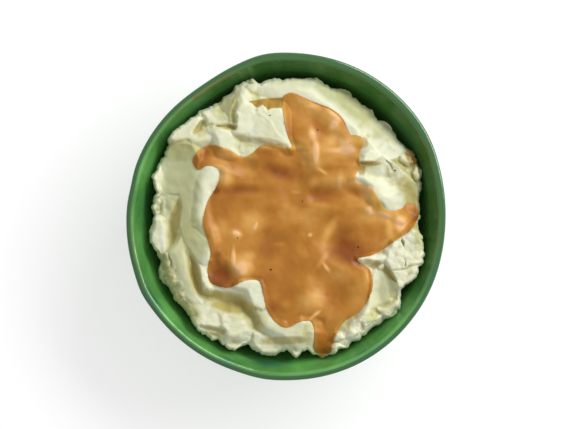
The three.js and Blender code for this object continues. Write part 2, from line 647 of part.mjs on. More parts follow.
const gravyOutline = smoothThrough(GRAVY_OUTLINE, OUTLINE_STEPS, true);

function gravyThickness(x, y) {
  const share = 1 - THREE.MathUtils.clamp(insideBy(gravyOutline, x, y) / GRAVY_ROUNDING, 0, 1);
  const pool = GRAVY_EDGE + (GRAVY_THICKNESS - GRAVY_EDGE) * Math.sqrt(1 - share * share);
  return GRAVY_LUMPS.reduce((thickness, { at, rise, size }) => (
    thickness + rise * Math.exp(-(((x - at[0]) / size[0]) ** 2) - ((y - at[1]) / size[1]) ** 2)
  ), pool);
}

// A blanket over the whole mound with the gravy's thickness, cut to its outline.
function makeGravy() {
  const count = topPoints.length;
  const under = topPoints.map(([x, y, z]) => [x, y, z + GRAVY_GAP]);
  const over = topPoints.map(([x, y, z]) => [x, y, z + GRAVY_GAP + gravyThickness(x, y)]);
  const faces = topFaces.map((face) => face.map((corner) => corner + count));
  topFaces.forEach(([a, b, c]) => faces.push([a, c, b]));
  const border = firstOfRing(MASH_RINGS);
  for (let step = 0; step < 6 * MASH_RINGS; step += 1) {
    const here = border + step;
    const next = border + ((step + 1) % (6 * MASH_RINGS));
    faces.push([here, next, next + count], [here, next + count, here + count]);
  }
  const blanket = geometryFrom([...under, ...over], faces);
  const outline = new THREE.Shape(gravyOutline.map(([x, y]) => new THREE.Vector2(x, y)));
  const cutter = new THREE.ExtrudeGeometry(outline, { depth: 2 * RIM_HEIGHT, bevelEnabled: false });
  const gravy = toSolid(blanket).intersect(toSolid(cutter));
  return meshFrom(fromSolid(gravy), 'gravy', 'gravy');
}

// ---- the side dish ------------------------------------------------------------------------

const dish = new THREE.Group();
dish.add(makeBowl(), makeMash(), makeGravy());

// The rim's box is centred over the origin.
const rimCentre = new THREE.Box3().setFromObject(dish).getCenter(new THREE.Vector3());
dish.position.set(-rimCentre.x, -rimCentre.y, 0);
dish.updateMatrixWorld(true);

export default dish;
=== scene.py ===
import math

import bpy
import numpy as np
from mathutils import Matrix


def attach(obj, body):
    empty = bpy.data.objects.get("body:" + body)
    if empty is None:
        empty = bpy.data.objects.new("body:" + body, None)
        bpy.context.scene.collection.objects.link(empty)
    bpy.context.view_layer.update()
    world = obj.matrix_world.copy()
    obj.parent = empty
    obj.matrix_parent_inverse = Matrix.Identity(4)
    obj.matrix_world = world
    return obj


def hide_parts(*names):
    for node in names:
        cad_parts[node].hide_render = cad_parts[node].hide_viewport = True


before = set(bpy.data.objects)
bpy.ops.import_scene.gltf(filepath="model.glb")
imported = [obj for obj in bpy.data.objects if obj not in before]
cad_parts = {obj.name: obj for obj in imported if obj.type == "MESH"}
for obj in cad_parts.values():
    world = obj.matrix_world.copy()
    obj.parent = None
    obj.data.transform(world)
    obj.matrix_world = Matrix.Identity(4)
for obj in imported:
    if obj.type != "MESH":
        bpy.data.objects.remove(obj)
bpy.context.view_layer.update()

MM = 0.001

# ---- sizes in millimetres, as the frame has them -------------

RIM_RADIUS = 90
RIM_HEIGHT = 62
FOOT_RADIUS = 41
FOOT_INNER_RADIUS = 34
FOOT_RECESS = 2.2
FLOOR_HEIGHT = 8
FIT_GAP = 0.45

MASH_BORDER_HEIGHT = 46
MASH_SHOULDER = 2.6
MASH_CONTACT_HEIGHT = 30

GRAVY_THICKNESS = 1.5
GRAVY_EDGE = 0.12
GRAVY_ROUNDING = 4.5

# Waves round the rim, mm of each, and where the first one peaks, in degrees.
RIM_WOBBLE = [(1, 0.8, -25), (2, 1.3, 64), (3, 0.8, 64), (6, 0.3, -26)]
LIP_WOBBLE = [(2, 0.5, 20), (3, 0.35, 95)]
# Bulges that the potter's hand left in the rim: where, how wide in degrees, and mm out.
RIM_BULGES = [
    (98, 8, 0.9), (122, 11, -0.8), (169, 5, -0.5), (208, 6, 0.7), (240, 14, 0.4), (262, 7, 0.5),
    (308, 20, 0.7),
]

INNER_WALL = [
    (0, FLOOR_HEIGHT), (28, FLOOR_HEIGHT + 0.4), (44, 10.6), (57, 15), (66.5, 21.5), (73.2, 30),
    (77.6, 39), (80.8, 48), (83.4, 54.5), (85, 59.2),
]
LIP = [
    (85.5, 60.8), (86.3, 61.7), (87.5, RIM_HEIGHT), (88.8, 61.85), (89.6, 61.4), (89.95, 60.6),
    (RIM_RADIUS, 59),
]
# Where the glaze ran together and turned blue-green: degrees round, half width, height, half height,
# strength.
GLAZE_POOLS = [
    (212, 5, 60, 2, 0.8), (248, 4, 60, 2, 0.7), (263, 6, 51, 4, 0.8), (300, 9, 60, 2, 0.4),
    (32, 8, 47, 5, 0.3), (176, 6, 49, 5, 0.4), (128, 5, 47, 5, 0.3), (338, 7, 60, 2, 0.3),
]
# Where it broke thin and rusty along the lip: degrees round, half width, strength.
GLAZE_BREAKS = [
    (112, 7, 0.7), (127, 8, 0.95), (143, 5, 0.4), (354, 12, 0.45), (20, 14, 0.25), (192, 10, 0.25),
]

OUTER_WALL = [
    (89.4, 53), (87.4, 44.5), (84.2, 36), (79.6, 28), (73, 20), (64, 12.8), (53, 7.6),
    (FOOT_RADIUS + 1, 4),
]

CROWN = [(0, 60), (20, 61), (36, 63), (48, 62.5), (58, 60), (67, 56), (76, 51), (84, 47)]

# How far the mash reaches from the middle of the bowl: degrees round from +X, mm.
MASH_REACH = [
    (0, 75), (8, 75.5), (14, 78.3), (20, 79.5), (27, 79.6), (31, 76.4), (35, 75.6), (41, 77.4),
    (46, 75.1), (50, 77.1), (56, 75.8), (65, 79.6), (71, 76.4), (78, 80.4), (86, 77.1), (95, 78),
    (102, 76.1), (104, 79.8), (111, 79.2), (113, 76.6), (124, 75.1), (131, 76.6), (138, 78.6),
    (145, 80.2), (149, 77.6), (157, 77.3), (164, 79.3), (169, 74.6), (174, 75.9), (180, 74.9),
    (191, 78.8), (195, 75.1), (201, 75.9), (207, 79), (212, 77.9), (220, 77.4), (227, 78.5), (231, 80.6),
    (239, 80.6), (241, 79.6), (243, 81), (249, 80.8), (253, 75.2), (260, 79.4), (266, 78.6), (270, 75.6),
    (274, 79.6), (279, 75.6), (281, 79.6), (284, 80.9), (290, 81.2), (298, 80.3), (309, 79), (316, 80.6),
    (321, 81.4), (328, 76.8), (334, 80.2), (343, 80.4), (351, 78), (354, 73.6), (358, 74),
]

GRAVY_OUTLINE = [
    (74.5, 1), (73, 6.5), (68, 8), (63.5, 4.5), (56, 4), (52, 9.5), (47, 16.5), (39, 20), (40, 25),
    (43, 27), (41, 31), (41.5, 36), (43, 39.5), (42.5, 44), (38.5, 45.5), (35.5, 46.5), (31, 55.5),
    (24, 60.5), (14, 64.5), (4, 69), (-2, 67), (-2.5, 61), (-0.8, 50), (0.9, 43.5), (2.6, 38.6),
    (-5, 39.9), (-14, 39.7), (-19, 35.5), (-24, 33.5), (-31, 37), (-40, 40), (-48, 37.8), (-52.5, 31),
    (-49, 25.5), (-43, 28), (-37, 25), (-39, 17), (-44, 8), (-46.5, -4), (-43.4, -15), (-42.2, -21),
    (-44, -29), (-42, -37.3), (-32, -40), (-23, -36), (-15.5, -36), (-13, -43), (-11, -52), (-5, -60),
    (1, -62), (8, -58.8), (13, -58.4), (15, -62), (15.3, -67), (14.8, -73), (16.5, -76.5), (20.5, -77.6),
    (25, -76.3), (26.5, -71), (28.5, -65.5), (33, -59), (42, -52.5), (48.2, -41), (47, -29.5),
    (39.8, -24), (50, -21), (60, -14.4), (69, -8.2), (73, -3),
]

# Crests that the spoon pushed up: points (x, y, top, half width), drop of the left and right flank, blend.
CRESTS = [
    ([(-34, 29, 64.5, 6), (-40, 27, 65.5, 6), (-44.5, 20, 65.5, 6), (-47, 12, 65.4, 6),
      (-47.5, 4, 65.3, 5.5), (-45.5, -5, 65.5, 6), (-42.5, -13, 65.5, 6.5),
      (-40.5, -21, 65.3, 6.5), (-41, -29, 64.5, 5)], 3, 1.6, 1.2),
    ([(-29, -38, 62.5, 4), (-22, -38.5, 64, 5), (-17, -44, 65, 6), (-15, -52, 64, 6),
      (-9, -60, 62.5, 5), (-2, -64.5, 62, 4.5), (6, -65, 61.5, 4), (14, -64, 61, 4)], 1.6, 3.5, 1),
    ([(-60.5, -13, 60.5, 4), (-58, -22, 61, 4.5), (-55.3, -33, 61, 4.5),
      (-51.5, -42, 60.3, 5), (-45, -49, 59.5, 5)], 4, 1.3, 0.8),
    ([(-64, -16, 59.3, 3), (-62.3, -27, 59.3, 3.5), (-59.5, -37, 58.3, 3.5),
      (-54.5, -46, 57.3, 3.5)], 1.2, 1.8, 0.6),
    ([(38.6, 20.4, 66, 5), (48.4, 15.2, 67, 7), (55.4, 8.2, 66.5, 7), (61.5, 2.4, 64, 5)], 4, 3, 1.2),
    ([(48.5, -27, 60, 3.5), (49.8, -38, 62, 3.5), (49.5, -49, 61.5, 4),
      (43.5, -57.5, 60.5, 4), (35, -65, 58.5, 4.5), (28, -72, 55.5, 4)], 1.8, 3, 0.8),
    ([(-16, 73, 58.5, 5), (-6, 71.5, 61, 6), (5, 70.5, 61.5, 6), (17, 65, 62.5, 6),
      (28, 58, 63.5, 6), (36, 50, 64.5, 6), (46, 42, 65.5, 6), (54, 35, 65, 6)], 4.8, 0.8, 2.5),
    ([(17, -4, 60, 6), (19.5, -13, 62, 6), (20, -22, 62, 6), (24, -30, 61, 6)], 1.6, 1.6, 3),
    ([(31, 28, 62, 3.5), (31, 18, 61.5, 4), (33, 8, 60, 5)], 1.6, 1.6, 2),
]

# Hollows that the spoon left: points (x, y, floor, half width), rise at the half width, blend.
SWIPES = [
    ([(-53.5, -20, 60.5, 1.2), (-51.7, -28, 57, 2), (-50.2, -35, 56, 2.6), (-48, -41, 56, 3),
      (-43, -46, 55.5, 4.5)], 3.5, 0.4),
    ([(-43, -46, 56, 4), (-34, -48, 55.5, 5), (-25, -50, 55.3, 4), (-19, -57, 57, 3),
      (-12, -65.5, 55, 2), (0, -69, 53.5, 2), (15, -69.3, 53, 2)], 3.2, 0.8),
    ([(62, 18, 60, 0.8), (67, 16.5, 58, 1.3), (70, 18, 57, 1)], 2.4, 0.3),
    ([(70, 20, 54.5, 5), (71, 12, 51.5, 5.5), (70.5, 4, 51.5, 5)], 3, 1),
    ([(26, -14, 60.3, 8), (37, -14, 60, 10), (50, -11, 59.3, 8), (62, -4, 58.3, 6),
      (71, 1, 55, 5)], 1.6, 5),
    ([(4, 34, 59.5, 6), (5, 24, 58.5, 8), (2, 14, 59, 8)], 2.4, 3),
    ([(17, 12, 59.5, 5), (27, 12, 59, 5), (37, 13, 59.5, 5)], 1.8, 3),
    ([(24, -38, 60, 8), (31, -47, 59.3, 9)], 2.4, 4),
    ([(19, -60, 57, 4.5), (20, -70, 54.5, 4.5), (20, -80, 50.5, 4.5)], 3, 1),
    ([(-46, 33, 62.8, 5), (-36, 33, 61.5, 5), (-22, 28, 60.5, 6)], 2.6, 2),
    ([(-38, -31, 60, 6), (-31, -34, 60, 5)], 2, 2),
]

# The scoop down the left side, and where it turns up at its top.
SCOOP = [
    (-70, 31), (-59, 31), (-48.5, 31), (-48.5, 25), (-51.5, 16), (-52.3, 3), (-52, -6), (-47, -10),
    (-42, -14), (-42, -24), (-46.5, -27), (-50, -24.5), (-53, -20.5), (-58, -14), (-59.5, -6),
    (-59.5, 12.5), (-70, 12.5), (-75, 20), (-72, 28),
]
SCOOP_TOP = [(-70.5, 30), (-66, 41), (-58, 42), (-51, 41), (-48, 33), (-48.5, 30)]
RIGHT_SCOOP = [(51.5, -31), (55, -31), (60, -38), (63, -40.5), (61, -46), (55, -50), (51.5, -51)]

# Flat faces that the spoon cut (-1) or plates that it broke off (1): height in the middle, slopes, how
# steep the edge is, how smooth the face is, and the corners.
FACES = [
    (-1, 60.5, (0.42, 0), 0.5, 1, SCOOP),
    (1, 60.5, (0.42, 0), 2.5, 1, SCOOP),
    (-1, 61, (0.4, 0.2), 0.9, 1, SCOOP_TOP),
    (1, 61, (0.4, 0.2), 1.5, 1, SCOOP_TOP),
    (1, 56.5, (-0.5, -0.1), 1.6, 0.8, [
        (-74.8, 20.5), (-70.5, 28), (-68.8, 24), (-69.3, 15), (-72, 13.5)]),
    (1, 55.5, (0.02, -0.1), 1.2, 0.9, [(-70.5, 12), (-60.5, 12), (-64, 4), (-67.5, -1)]),
    (1, 54.5, (-0.1, 0.1), 1.5, 0.1, [(-74.5, 9), (-70.5, 11), (-68.8, 2), (-71, -1), (-74.5, 1)]),
    (1, 58, (0.06, 0.05), 1.6, 0.6, [
        (-72.5, -1), (-68.5, -1.5), (-67, -8), (-66.8, -17), (-70, -21), (-74, -19), (-75.5, -12)]),
    (-1, 54.5, (0.9, 0.1), 2, 0.95, [
        (-59.3, 12.5), (-61.5, 8), (-64.5, -4), (-66.5, -16), (-62, -13), (-59, -8)]),
    (1, 63.3, (-0.1, 0), 2.2, 0.9, [
        (-49.3, -26), (-48.3, -31), (-47, -36), (-45.7, -39.5), (-42.3, -42.3), (-40.5, -40.5),
        (-43, -37), (-44.5, -31), (-45.3, -26)]),
    (1, 62.2, (0.03, -0.08), 1.6, 0.9, [
        (-66, 44.5), (-62, 49.5), (-56, 54), (-50, 55.5), (-47.5, 53), (-50, 47), (-54, 43.5), (-62, 42)]),
    (1, 64, (0.1, -0.1), 1, 0.8, [
        (-53, 43.5), (-47, 45.5), (-41, 45.5), (-40.5, 43.5), (-45, 42), (-52, 41)]),
    (1, 61.5, (0, -0.08), 1.4, 0.6, [
        (-46, 57), (-44, 52), (-38, 51.5), (-31, 51), (-29, 54), (-33, 56.5), (-40, 58)]),
    (-1, 56.5, (0.3, -0.15), 1.2, 0.9, [
        (-40, 57.5), (-34, 66), (-29, 68.5), (-27.5, 62), (-29, 54.5), (-33, 56.5)]),
    (-1, 60.5, (0.12, 0.28), 2.2, 0.95, [
        (-21, 64), (-14, 65.7), (-1, 66), (-1, 58), (-11, 57.5), (-18, 60)]),
    (1, 66.2, (-0.05, -0.05), 1.2, 0.8, [
        (-28.7, 46.5), (-28.6, 57), (-26.5, 61.5), (-24, 63.9), (-19, 62.3), (-16.5, 60.3), (-16, 54),
        (-20, 46), (-22, 44.5)]),
    (1, 66, (0.06, 0.06), 0.9, 0.8, [
        (-20, 58.5), (-12, 56.5), (-5, 48.5), (0, 42), (-1, 39.8), (-6, 39.8), (-11, 42), (-21, 43.6),
        (-20, 50)]),
    (1, 66.1, (-0.06, -0.03), 1.3, 0.8, [
        (-16.3, 60.2), (-13, 61.6), (-11.5, 60), (-10.5, 58.4), (-9, 59.4), (-3, 59.9), (-1, 56),
        (0.8, 49), (2, 42), (2.4, 38.6), (-1, 40), (-7, 48), (-13, 54.5), (-17, 56)]),
    (1, 66.3, (-0.12, -0.1), 1.2, 0.9, [
        (-39.5, 47), (-37, 49.5), (-31, 46.5), (-27.5, 42), (-29, 36), (-36, 37.5)]),
    (1, 65.6, (-0.05, -0.03), 2, 0.8, [
        (-28.6, -38.8), (-24, -36), (-14, -35.5), (-12, -43), (-11, -50), (-13.5, -52), (-18.6, -50),
        (-20.8, -45), (-22.5, -41.5)]),
    (1, 62.6, (0.03, 0.02), 0.9, 0.9, [
        (-10, -56), (-5, -59.5), (1, -61.5), (8, -57.5), (13, -58.5), (13.5, -64), (8, -67), (0, -66.5),
        (-6, -64.5), (-10.5, -60)]),
    (1, 62.6, (-0.06, -0.04), 1.2, 0.6, [
        (-49, -53), (-45, -51), (-40, -51), (-36.5, -53), (-34.5, -56), (-35.5, -60.5), (-40, -62.3),
        (-46, -62), (-50.5, -59)]),
    (1, 63, (-0.08, -0.05), 1.2, 0.6, [
        (-37, -55), (-31, -53.5), (-26, -55.5), (-21.8, -59), (-22, -63), (-26, -66.5), (-32, -67),
        (-35.5, -62)]),
    (1, 57.3, (0.02, 0.04), 1.6, 0.4, [
        (-51, -60), (-46, -60), (-38, -63), (-35, -66.5), (-38, -69.5), (-43, -70), (-49, -66)]),
    (1, 58, (-0.08, -0.02), 1.6, 0.4, [
        (-37.5, -67.5), (-33, -66), (-24, -66.5), (-22.2, -71), (-25, -75), (-32, -75.5), (-36.5, -72)]),
    (1, 57, (-0.1, 0.22), 1.4, 0.5, [
        (-19, -63.5), (-12, -66), (-3, -69), (0, -73), (-7, -76), (-13, -77), (-18, -72)]),
    (1, 55.5, (-0.1, 0.15), 1.6, 0.6, [(2, -71), (9, -71), (11, -74), (8, -78), (4, -78.5)]),
    (1, 63.5, (-0.05, 0.02), 2, 0.5, [
        (56.5, -18.5), (60, -14.5), (64, -12), (70, -7), (74, -8), (76.5, -12), (78.5, -18), (76, -22),
        (75.5, -26), (70, -28), (62, -30), (57.5, -30), (55, -25)]),
    (1, 62.2, (-0.04, 0.03), 2, 0.5, [
        (57.5, -30), (62, -30), (70, -28), (75, -27), (73, -32), (71, -37.5), (66, -41), (61.5, -38.5)]),
    (1, 64, (-0.1, -0.3), 2, 0.7, [
        (39.5, -23.3), (46, -22.3), (56, -20.3), (57, -24), (50, -25.3), (42, -25)]),
    (-1, 56.8, (0.1, 0.26), 1, 1, RIGHT_SCOOP),
    (1, 56.8, (0.1, 0.26), 1.5, 1, RIGHT_SCOOP),
    (1, 58, (-0.1, 0.1), 1.8, 0.1, [
        (51, -52), (56, -50.5), (62, -46), (62.5, -41), (65, -41), (66.5, -46), (65, -49.5), (60.5, -51),
        (58.5, -56), (54, -55.5)]),
    (-1, 50, (-0.62, -0.72), 0.9, 0.8, [
        (14, 80), (20, 71), (28, 66.5), (38, 58), (46, 51), (54, 43), (60, 35), (68, 38), (62, 52),
        (50, 64), (34, 74)]),
    (1, 66.3, (-0.12, -0.2), 1.6, 0.8, [(42, 31), (43, 35), (46, 38), (52, 37), (53, 33), (48, 30.5)]),
]

# Cracks and crevices between the plates: points (x, y, floor, half width), rise at the half width, blend.
CRACKS = [
    ([(-52, 46.3, 60.5, 0.7), (-49, 49, 58, 1.6), (-46.5, 52.5, 57.8, 1.4)], 2.6, 0.5),
    ([(-39, 50.6, 61.2, 0.6), (-34, 50.6, 60.6, 1), (-30, 49.6, 60.6, 1.4)], 2.2, 0.5),
    ([(-27.5, 66, 61.6, 1), (-30, 60, 61.3, 1.2), (-30, 53, 61.2, 1.2)], 1.4, 0.8),
    ([(-66.3, -16, 57, 0.7), (-64.9, -22, 56.8, 0.8), (-64.2, -28, 57, 0.6)], 2.5, 0.3),
    ([(-17.5, -51, 62.3, 0.6), (-16.8, -55, 60.5, 0.8), (-17.5, -59, 59, 0.6)], 2, 0.3),
    ([(-36.2, -51.5, 60.5, 0.7), (-36, -54, 61.6, 0.6)], 1.6, 0.6),
    ([(-47, -61.5, 60, 1.2), (-42, -63.5, 59.2, 1.6), (-36.5, -65, 58.8, 1.6)], 1.2, 1.2),
    ([(41, 29.6, 63.6, 0.9), (46, 29.6, 63.8, 0.9), (51, 29.8, 64.3, 0.5)], 1.6, 0.6),
    ([(56, 31, 63, 0.6), (58.5, 27, 62, 0.8), (61, 22, 61, 0.7), (63.5, 18, 60.5, 0.6)], 2.2, 0.3),
    ([(54, 25.2, 63.5, 0.4), (58, 25.8, 62.3, 0.5), (61, 25, 61.8, 0.4)], 2, 0.3),
    ([(50, 43.5, 63, 0.5), (52, 42.3, 62.4, 0.6), (54, 40, 62.8, 0.5)], 2.2, 0.3),
    ([(64.3, -12.3, 62, 0.5), (64.7, -14.5, 61, 0.8), (65, -17, 62, 0.4)], 2.5, 0.3),
    ([(53.8, -25.5, 61.4, 0.7), (56, -30.5, 58, 1.2), (58, -33.5, 57.5, 1.1),
      (60.5, -36.2, 58.6, 0.6)], 3, 0.3),
    ([(66, -24.5, 62.3, 0.5), (66.3, -27.5, 61.6, 0.6)], 2.2, 0.3),
]

# Rounded clods: middle, top, radii, turn, drop at the radii, power of the drop, raggedness.
CLODS = [
    (-38, 58, 56.5, 5, 3, 35, 3, 3, 0.8),
    (44.5, -58, 61, 4.5, 4, 45, 3, 3.5, 1.2),
    (37.5, -64, 59.5, 4, 4, 20, 3, 3.5, 1.2),
    (30, -67.5, 58.5, 3.5, 3, -10, 3, 3, 1.2),
    (29, -73.5, 58.5, 3.8, 3, -10, 3, 3, 1.2),
    (52.6, -26.8, 61.8, 2.6, 2, 20, 2, 3, 0.8),
    (66, 32, 57, 4, 3, -40, 3, 3, 1.2),
    (73, 24, 55, 2.5, 5, 0, 3, 3, 1.2),
]
CLOD_BLEND = 0.35
FACE_BLEND = 0.5
SCOOP_BLEND = 1.6
FACE_ROUNDING = 1.2

# Patches that are torn and crumbly: middle, radii, turn, how much.
TORN_PATCHES = [
    (-66, -34, 5.5, 20, 26, 1.9), (-57, -50, 4, 12, 42, 1.3), (-71, 5, 4, 8, 0, 1.2),
    (68, 24, 10, 12, -20, 0.9), (60, 25, 6, 7, -30, 1), (69, -22, 10, 18, 15, 0.8),
    (60, -48, 5, 9, -30, 1.3), (42, -61, 16, 6, 40, 1.3), (-40, 55, 14, 7, 30, 0.6),
    (-38, -66, 14, 5, -20, 0.6), (52, 56, 5, 16, 45, 0.5), (-22, 70, 8, 5, 0, 0.7),
    (-10, -72, 16, 6, -5, 0.5), (49, -27, 5, 2.5, 0, 1.2), (43, 45, 4, 3, 0, 0.9),
    (-28.5, 61, 2.5, 9, -10, 0.9),
]

# Places where the mash looks yellowish, from dampness and from painted shade in valleys and under crests:
# middle, radii, turn, strength.
DAMP_AND_SHADE_PATCHES = [
    (-29, -50, 13, 4, -6, 1), (-36, -45.5, 12, 4, -14, 0.8), (-19, -57, 4, 8, 30, 0.55),
    (-62, -3, 3.4, 13, -12, 0.8), (-50.5, -33, 3.2, 12, 14, 1), (57, -31.5, 2.2, 5.5, 38, 0.9),
    (-48.7, 49.3, 1.5, 4.6, -35, 0.8), (-33, 50, 6, 1.8, -10, 0.8), (-30, 51, 1.8, 5, 0, 0.45),
    (-29, 62, 1.6, 9, -12, 0.6), (46, 29.5, 7, 1.4, 0, 0.9), (59, 26, 4, 5, -30, 0.35),
    (66, 18, 4.5, 4.5, 0, 0.75), (-57, 39, 9, 4, 0, 0.35), (-56, 5, 6, 22, 0, 0.2),
    (0, -69, 16, 2.4, 3, 0.75), (-40, -63.8, 6.5, 2.6, -16, 0.6), (-47, 46.5, 3, 2.5, 0, 0.5),
    (-24, 43, 6, 2, -10, 0.6), (70, 11, 3.5, 9, 8, 0.8), (-55, -50, 4, 6, 40, 0.4),
    (-36.5, -52.5, 2.5, 3, 0, 0.4), (71.5, -5, 2, 2.4, 0, 0.9), (-66, -30, 2.2, 14, 24, 0.5),
    (-59, -46, 2, 9, 40, 0.6), (12, -66, 3, 6, 0, 0.35),
]
# Painted shade in the lee of a crest or of the wall, darker and a little green as if the green wall lit it:
# the same.
PAINTED_SHADE_PATCHES = [
    (-58, 36, 12, 7, 0, 0.8), (-58, 14, 11, 26, 0, 0.6), (-52, -12, 9, 13, 0, 0.7),
    (57, -42, 5.5, 12, 0, 0.55), (-34, 61, 6, 8, -30, 0.7), (71, 10, 6, 13, 0, 0.7),
    (38, 63, 7, 16, 48, 0.8), (54, 50, 5, 12, 48, 0.5), (26, 69.5, 12, 5, -28, 0.65),
    (4, 75, 16, 3.5, -4, 0.35), (-63, -38, 6, 18, 30, 0.4), (-59, -30, 7, 16, 15, 0.5),
    (-15, -58, 5, 6.5, -30, 0.6), (-52, -55, 5, 5, -30, 0.8), (-21, 41, 6, 3, 0, 0.5),
    (12, -63, 3, 4.5, 0, 0.5), (-33, -50, 8, 2, -8, 0.6), (4, -62, 14, 3.4, 0, 0.3),
    (-7, -61, 5, 3, -30, 0.2), (74, -12, 3, 7, 0, 0.8), (48, -56, 3.5, 3, 0, 0.7),
    (-26, -55.5, 5, 2, -10, 0.5),
]

# Where the gravy lies thin over a rise or thick in a dip, with painted highlights and painted shade in its
# colour: middle, radii, turn, rise, how thick it looks (below 0 a painted highlight).
GRAVY_SPOTS = [
    (-25.5, -28.3, 6.4, 7.2, 0, 2, -1.15), (13, -47, 8, 6.5, 0, 0.7, -0.7),
    (64.3, -4.6, 4.3, 4.8, 0, 0.8, -1.5), (-34, 22, 5, 7, 20, 0.6, -1),
    (-26, 34.5, 6, 2.5, -15, 0.5, -0.5), (-20, 24, 4, 3, 0, 0.3, -0.3), (-18, -3, 7, 6, 0, 0.8, -0.7),
    (-37, -5, 4.5, 4.5, 0, 0.4, -0.4), (-28, -10, 3.5, 3, -30, 0.7, -0.6),
    (-20, -22, 3.5, 2.5, -20, 0.3, -0.3), (15, 19, 3.4, 3.8, 0, 0.6, -0.5),
    (29.5, 20, 2, 6.5, -5, 0.7, -0.5), (20, 4, 9, 3.6, 0, 0.6, -0.4), (24, -8, 2.8, 8, -28, 1, -0.7),
    (57.5, -7, 2.4, 6, 5, 0.6, -0.6), (46, 3, 3, 2.4, -20, 0.8, -0.6), (54, 1, 4, 1.6, -15, 0.6, -0.5),
    (34, 40, 4.6, 5, 20, 0.7, -1.1), (31, 36.5, 9, 1.8, 0, 0.6, -0.7),
    (14.3, 45.5, 2, 4.4, 12, 0.8, -1.1), (16.5, 36.5, 1.9, 6.5, 3, 0.9, -1.2),
    (26.5, 51, 2, 5.5, -45, 0.6, -0.5), (15, 60.5, 4.5, 4, 0, 0.4, -0.7),
    (26, 57.5, 1.8, 7, 52, 0.4, -0.6), (5, 38.3, 7, 1.2, -3, 0.5, -0.5), (0, -49, 4, 3, 0, 0.4, -0.3),
    (19.5, -25, 1.8, 6, -35, 0.6, -0.5), (44, -34, 2, 7, 10, 0.6, -0.4), (-3, 25, 11, 4.5, -20, -1.2, 1),
    (-24, 15, 14, 3, 0, -0.7, 0.5), (-39, 14, 2, 1.8, 0, -0.5, 1), (-8, -12, 9, 6, 0, -0.9, 0.4),
    (-38, -21, 2.6, 6, -5, -0.7, 0.6), (-37.5, -33, 8, 7, 10, -1.1, 1.1), (-8, -52, 5, 6, 0, -0.5, 0.4),
    (-2, -36, 6, 8, 0, -0.5, 0.3), (28, -45, 7.5, 9, 20, -1, 0.4), (19.5, 50, 4.5, 5.5, 15, -0.6, 0.4),
    (30.5, 51, 2.6, 4, 45, -0.5, 0.3), (26.5, 43, 4.5, 3.4, 0, -0.3, -0.5),
    (20, 12.5, 10, 4.4, 0, -0.8, 0.4), (38, 14, 7, 3, -25, -0.8, 0.6), (34, 31, 8, 2.4, 0, -0.8, 0.3),
    (50.5, 5.5, 1.6, 2.6, 0, -0.8, 0.6), (32, -14, 9.5, 10.5, 20, -0.8, 0.65),
    (44, -12, 9, 8, 0, -0.6, 0.3), (20, -73, 4, 7, 0, -0.3, 0.2), (73, 0, 3, 4, 0, -0.2, 0.5),
    (-46, 32, 6, 7, -30, 0.2, 0.4), (-34, 33, 6, 3, 0, 0.2, -0.6), (-10, -20, 6, 5, 0, -0.2, 0.5),
    (8, 55, 6, 12, 10, 0, -0.35), (40, 43.5, 3.5, 2.5, 0, -0.5, -0.5), (5, 0, 9, 5, 0, 0.2, -0.2),
    (-6, 5, 6, 3, 30, 0.1, 0.2), (8, -20, 5, 8, 0, 0, -0.15), (-22, 36.5, 4, 1.5, -20, 0.2, -0.6),
    (25, 30, 9, 3, 0, 0.1, -0.25), (25, 54, 8, 6, 0, 0, -0.8), (27, 37, 14, 7, 0, 0, -0.7),
    (14, 30, 6, 6, 0, 0, -0.5), (30, 20, 12, 6, 0, 0, -0.9), (44, 15, 4, 6, 45, 0, -0.7),
    (54, 1, 12, 5.5, 0, 0, -0.7), (12, -5, 6, 8, 0, 0, -0.45), (29, -31, 10, 6, 0, 0, -0.5),
    (42, -41, 5, 9, 0, 0, -0.35), (37, -19, 10, 6.5, 0, 0, 0.6), (9, 63, 7, 3.4, -15, 0, -0.5),
    (-10, -33, 10, 6, 0, 0, 0.35), (-4, 14, 8, 4.5, 0, 0, 0.3), (29, 48, 5, 5, 0, 0, -0.6),
    (36, 34, 6, 5, 0, 0, -0.4), (15, 28, 6, 5, 0, 0, -0.35), (9, 34, 5, 4, 0, 0, -0.35),
    (45, 10, 6, 6, -45, 0, -0.4), (37, -25, 8, 4, 0, 0, 0.3), (16, -54.8, 4, 1.1, 38, 0.9, -1.3),
    (22.2, -28.4, 3.4, 1, -55, 0.7, -1.4), (13.2, -10.3, 1.4, 1.2, 0, 0.4, -1.2),
    (-27.5, -9.5, 3, 1.3, -20, 0.5, -0.9), (-17, -5.5, 0.9, 2.4, -20, 0.5, -0.9),
    (-29.3, -22, 1.2, 5, 0, 0.8, -1.2), (20, 25, 3.4, 1, -35, 0.6, -1), (46, 3.2, 1.4, 2.6, -10, 0.7, -1),
    (5, 13.5, 3.4, 1.2, -5, 0.1, -0.4), (-4, -15.5, 4, 1.2, 0, 0.1, -0.35),
    (45.3, -33, 0.9, 4, 8, 0.4, -0.8), (17, 7, 9, 2, -8, 0.2, -0.25),
]

# A painted shade line in the crease where the gravy's edge stands against the mash.
GRAVY_SEAM_SHADE = [
    (11, 66), (16, 63.4), (20, 61.8), (25, 59.6), (29, 56.2), (32.3, 52.3), (34.3, 48.8), (36.2, 46.3),
]
SEAM_SHADE_WIDTH = 0.45

# Where the gravy runs out thin and yellowish at its edge: middle, radii, turn, strength.
THIN_EDGES = [
    (-9, 40.5, 14, 3, -3, 0.8), (4, 39, 7, 2, 0, 0.6), (-22, 35, 6, 2.2, -20, 0.6),
    (-34, 39.5, 9, 2.2, -22, 0.7), (50, 8, 2.6, 7, 38, 0.7), (40.5, 43, 4.5, 3.4, 0, 0.7),
    (-1.5, 56, 1.6, 12, 0, 0.5), (27.5, -66, 2, 10, -26, 0.5), (42.5, 27, 3, 3, 0, 0.5),
    (16, -66, 1.5, 10, 0, 0.4), (-38, 26, 2.4, 4, 0, 0.4), (-48, 37, 4, 2, 40, 0.4),
    (60, -12, 8, 2, 28, 0.4), (56, 4.2, 5, 1.6, 0, 0.5),
]

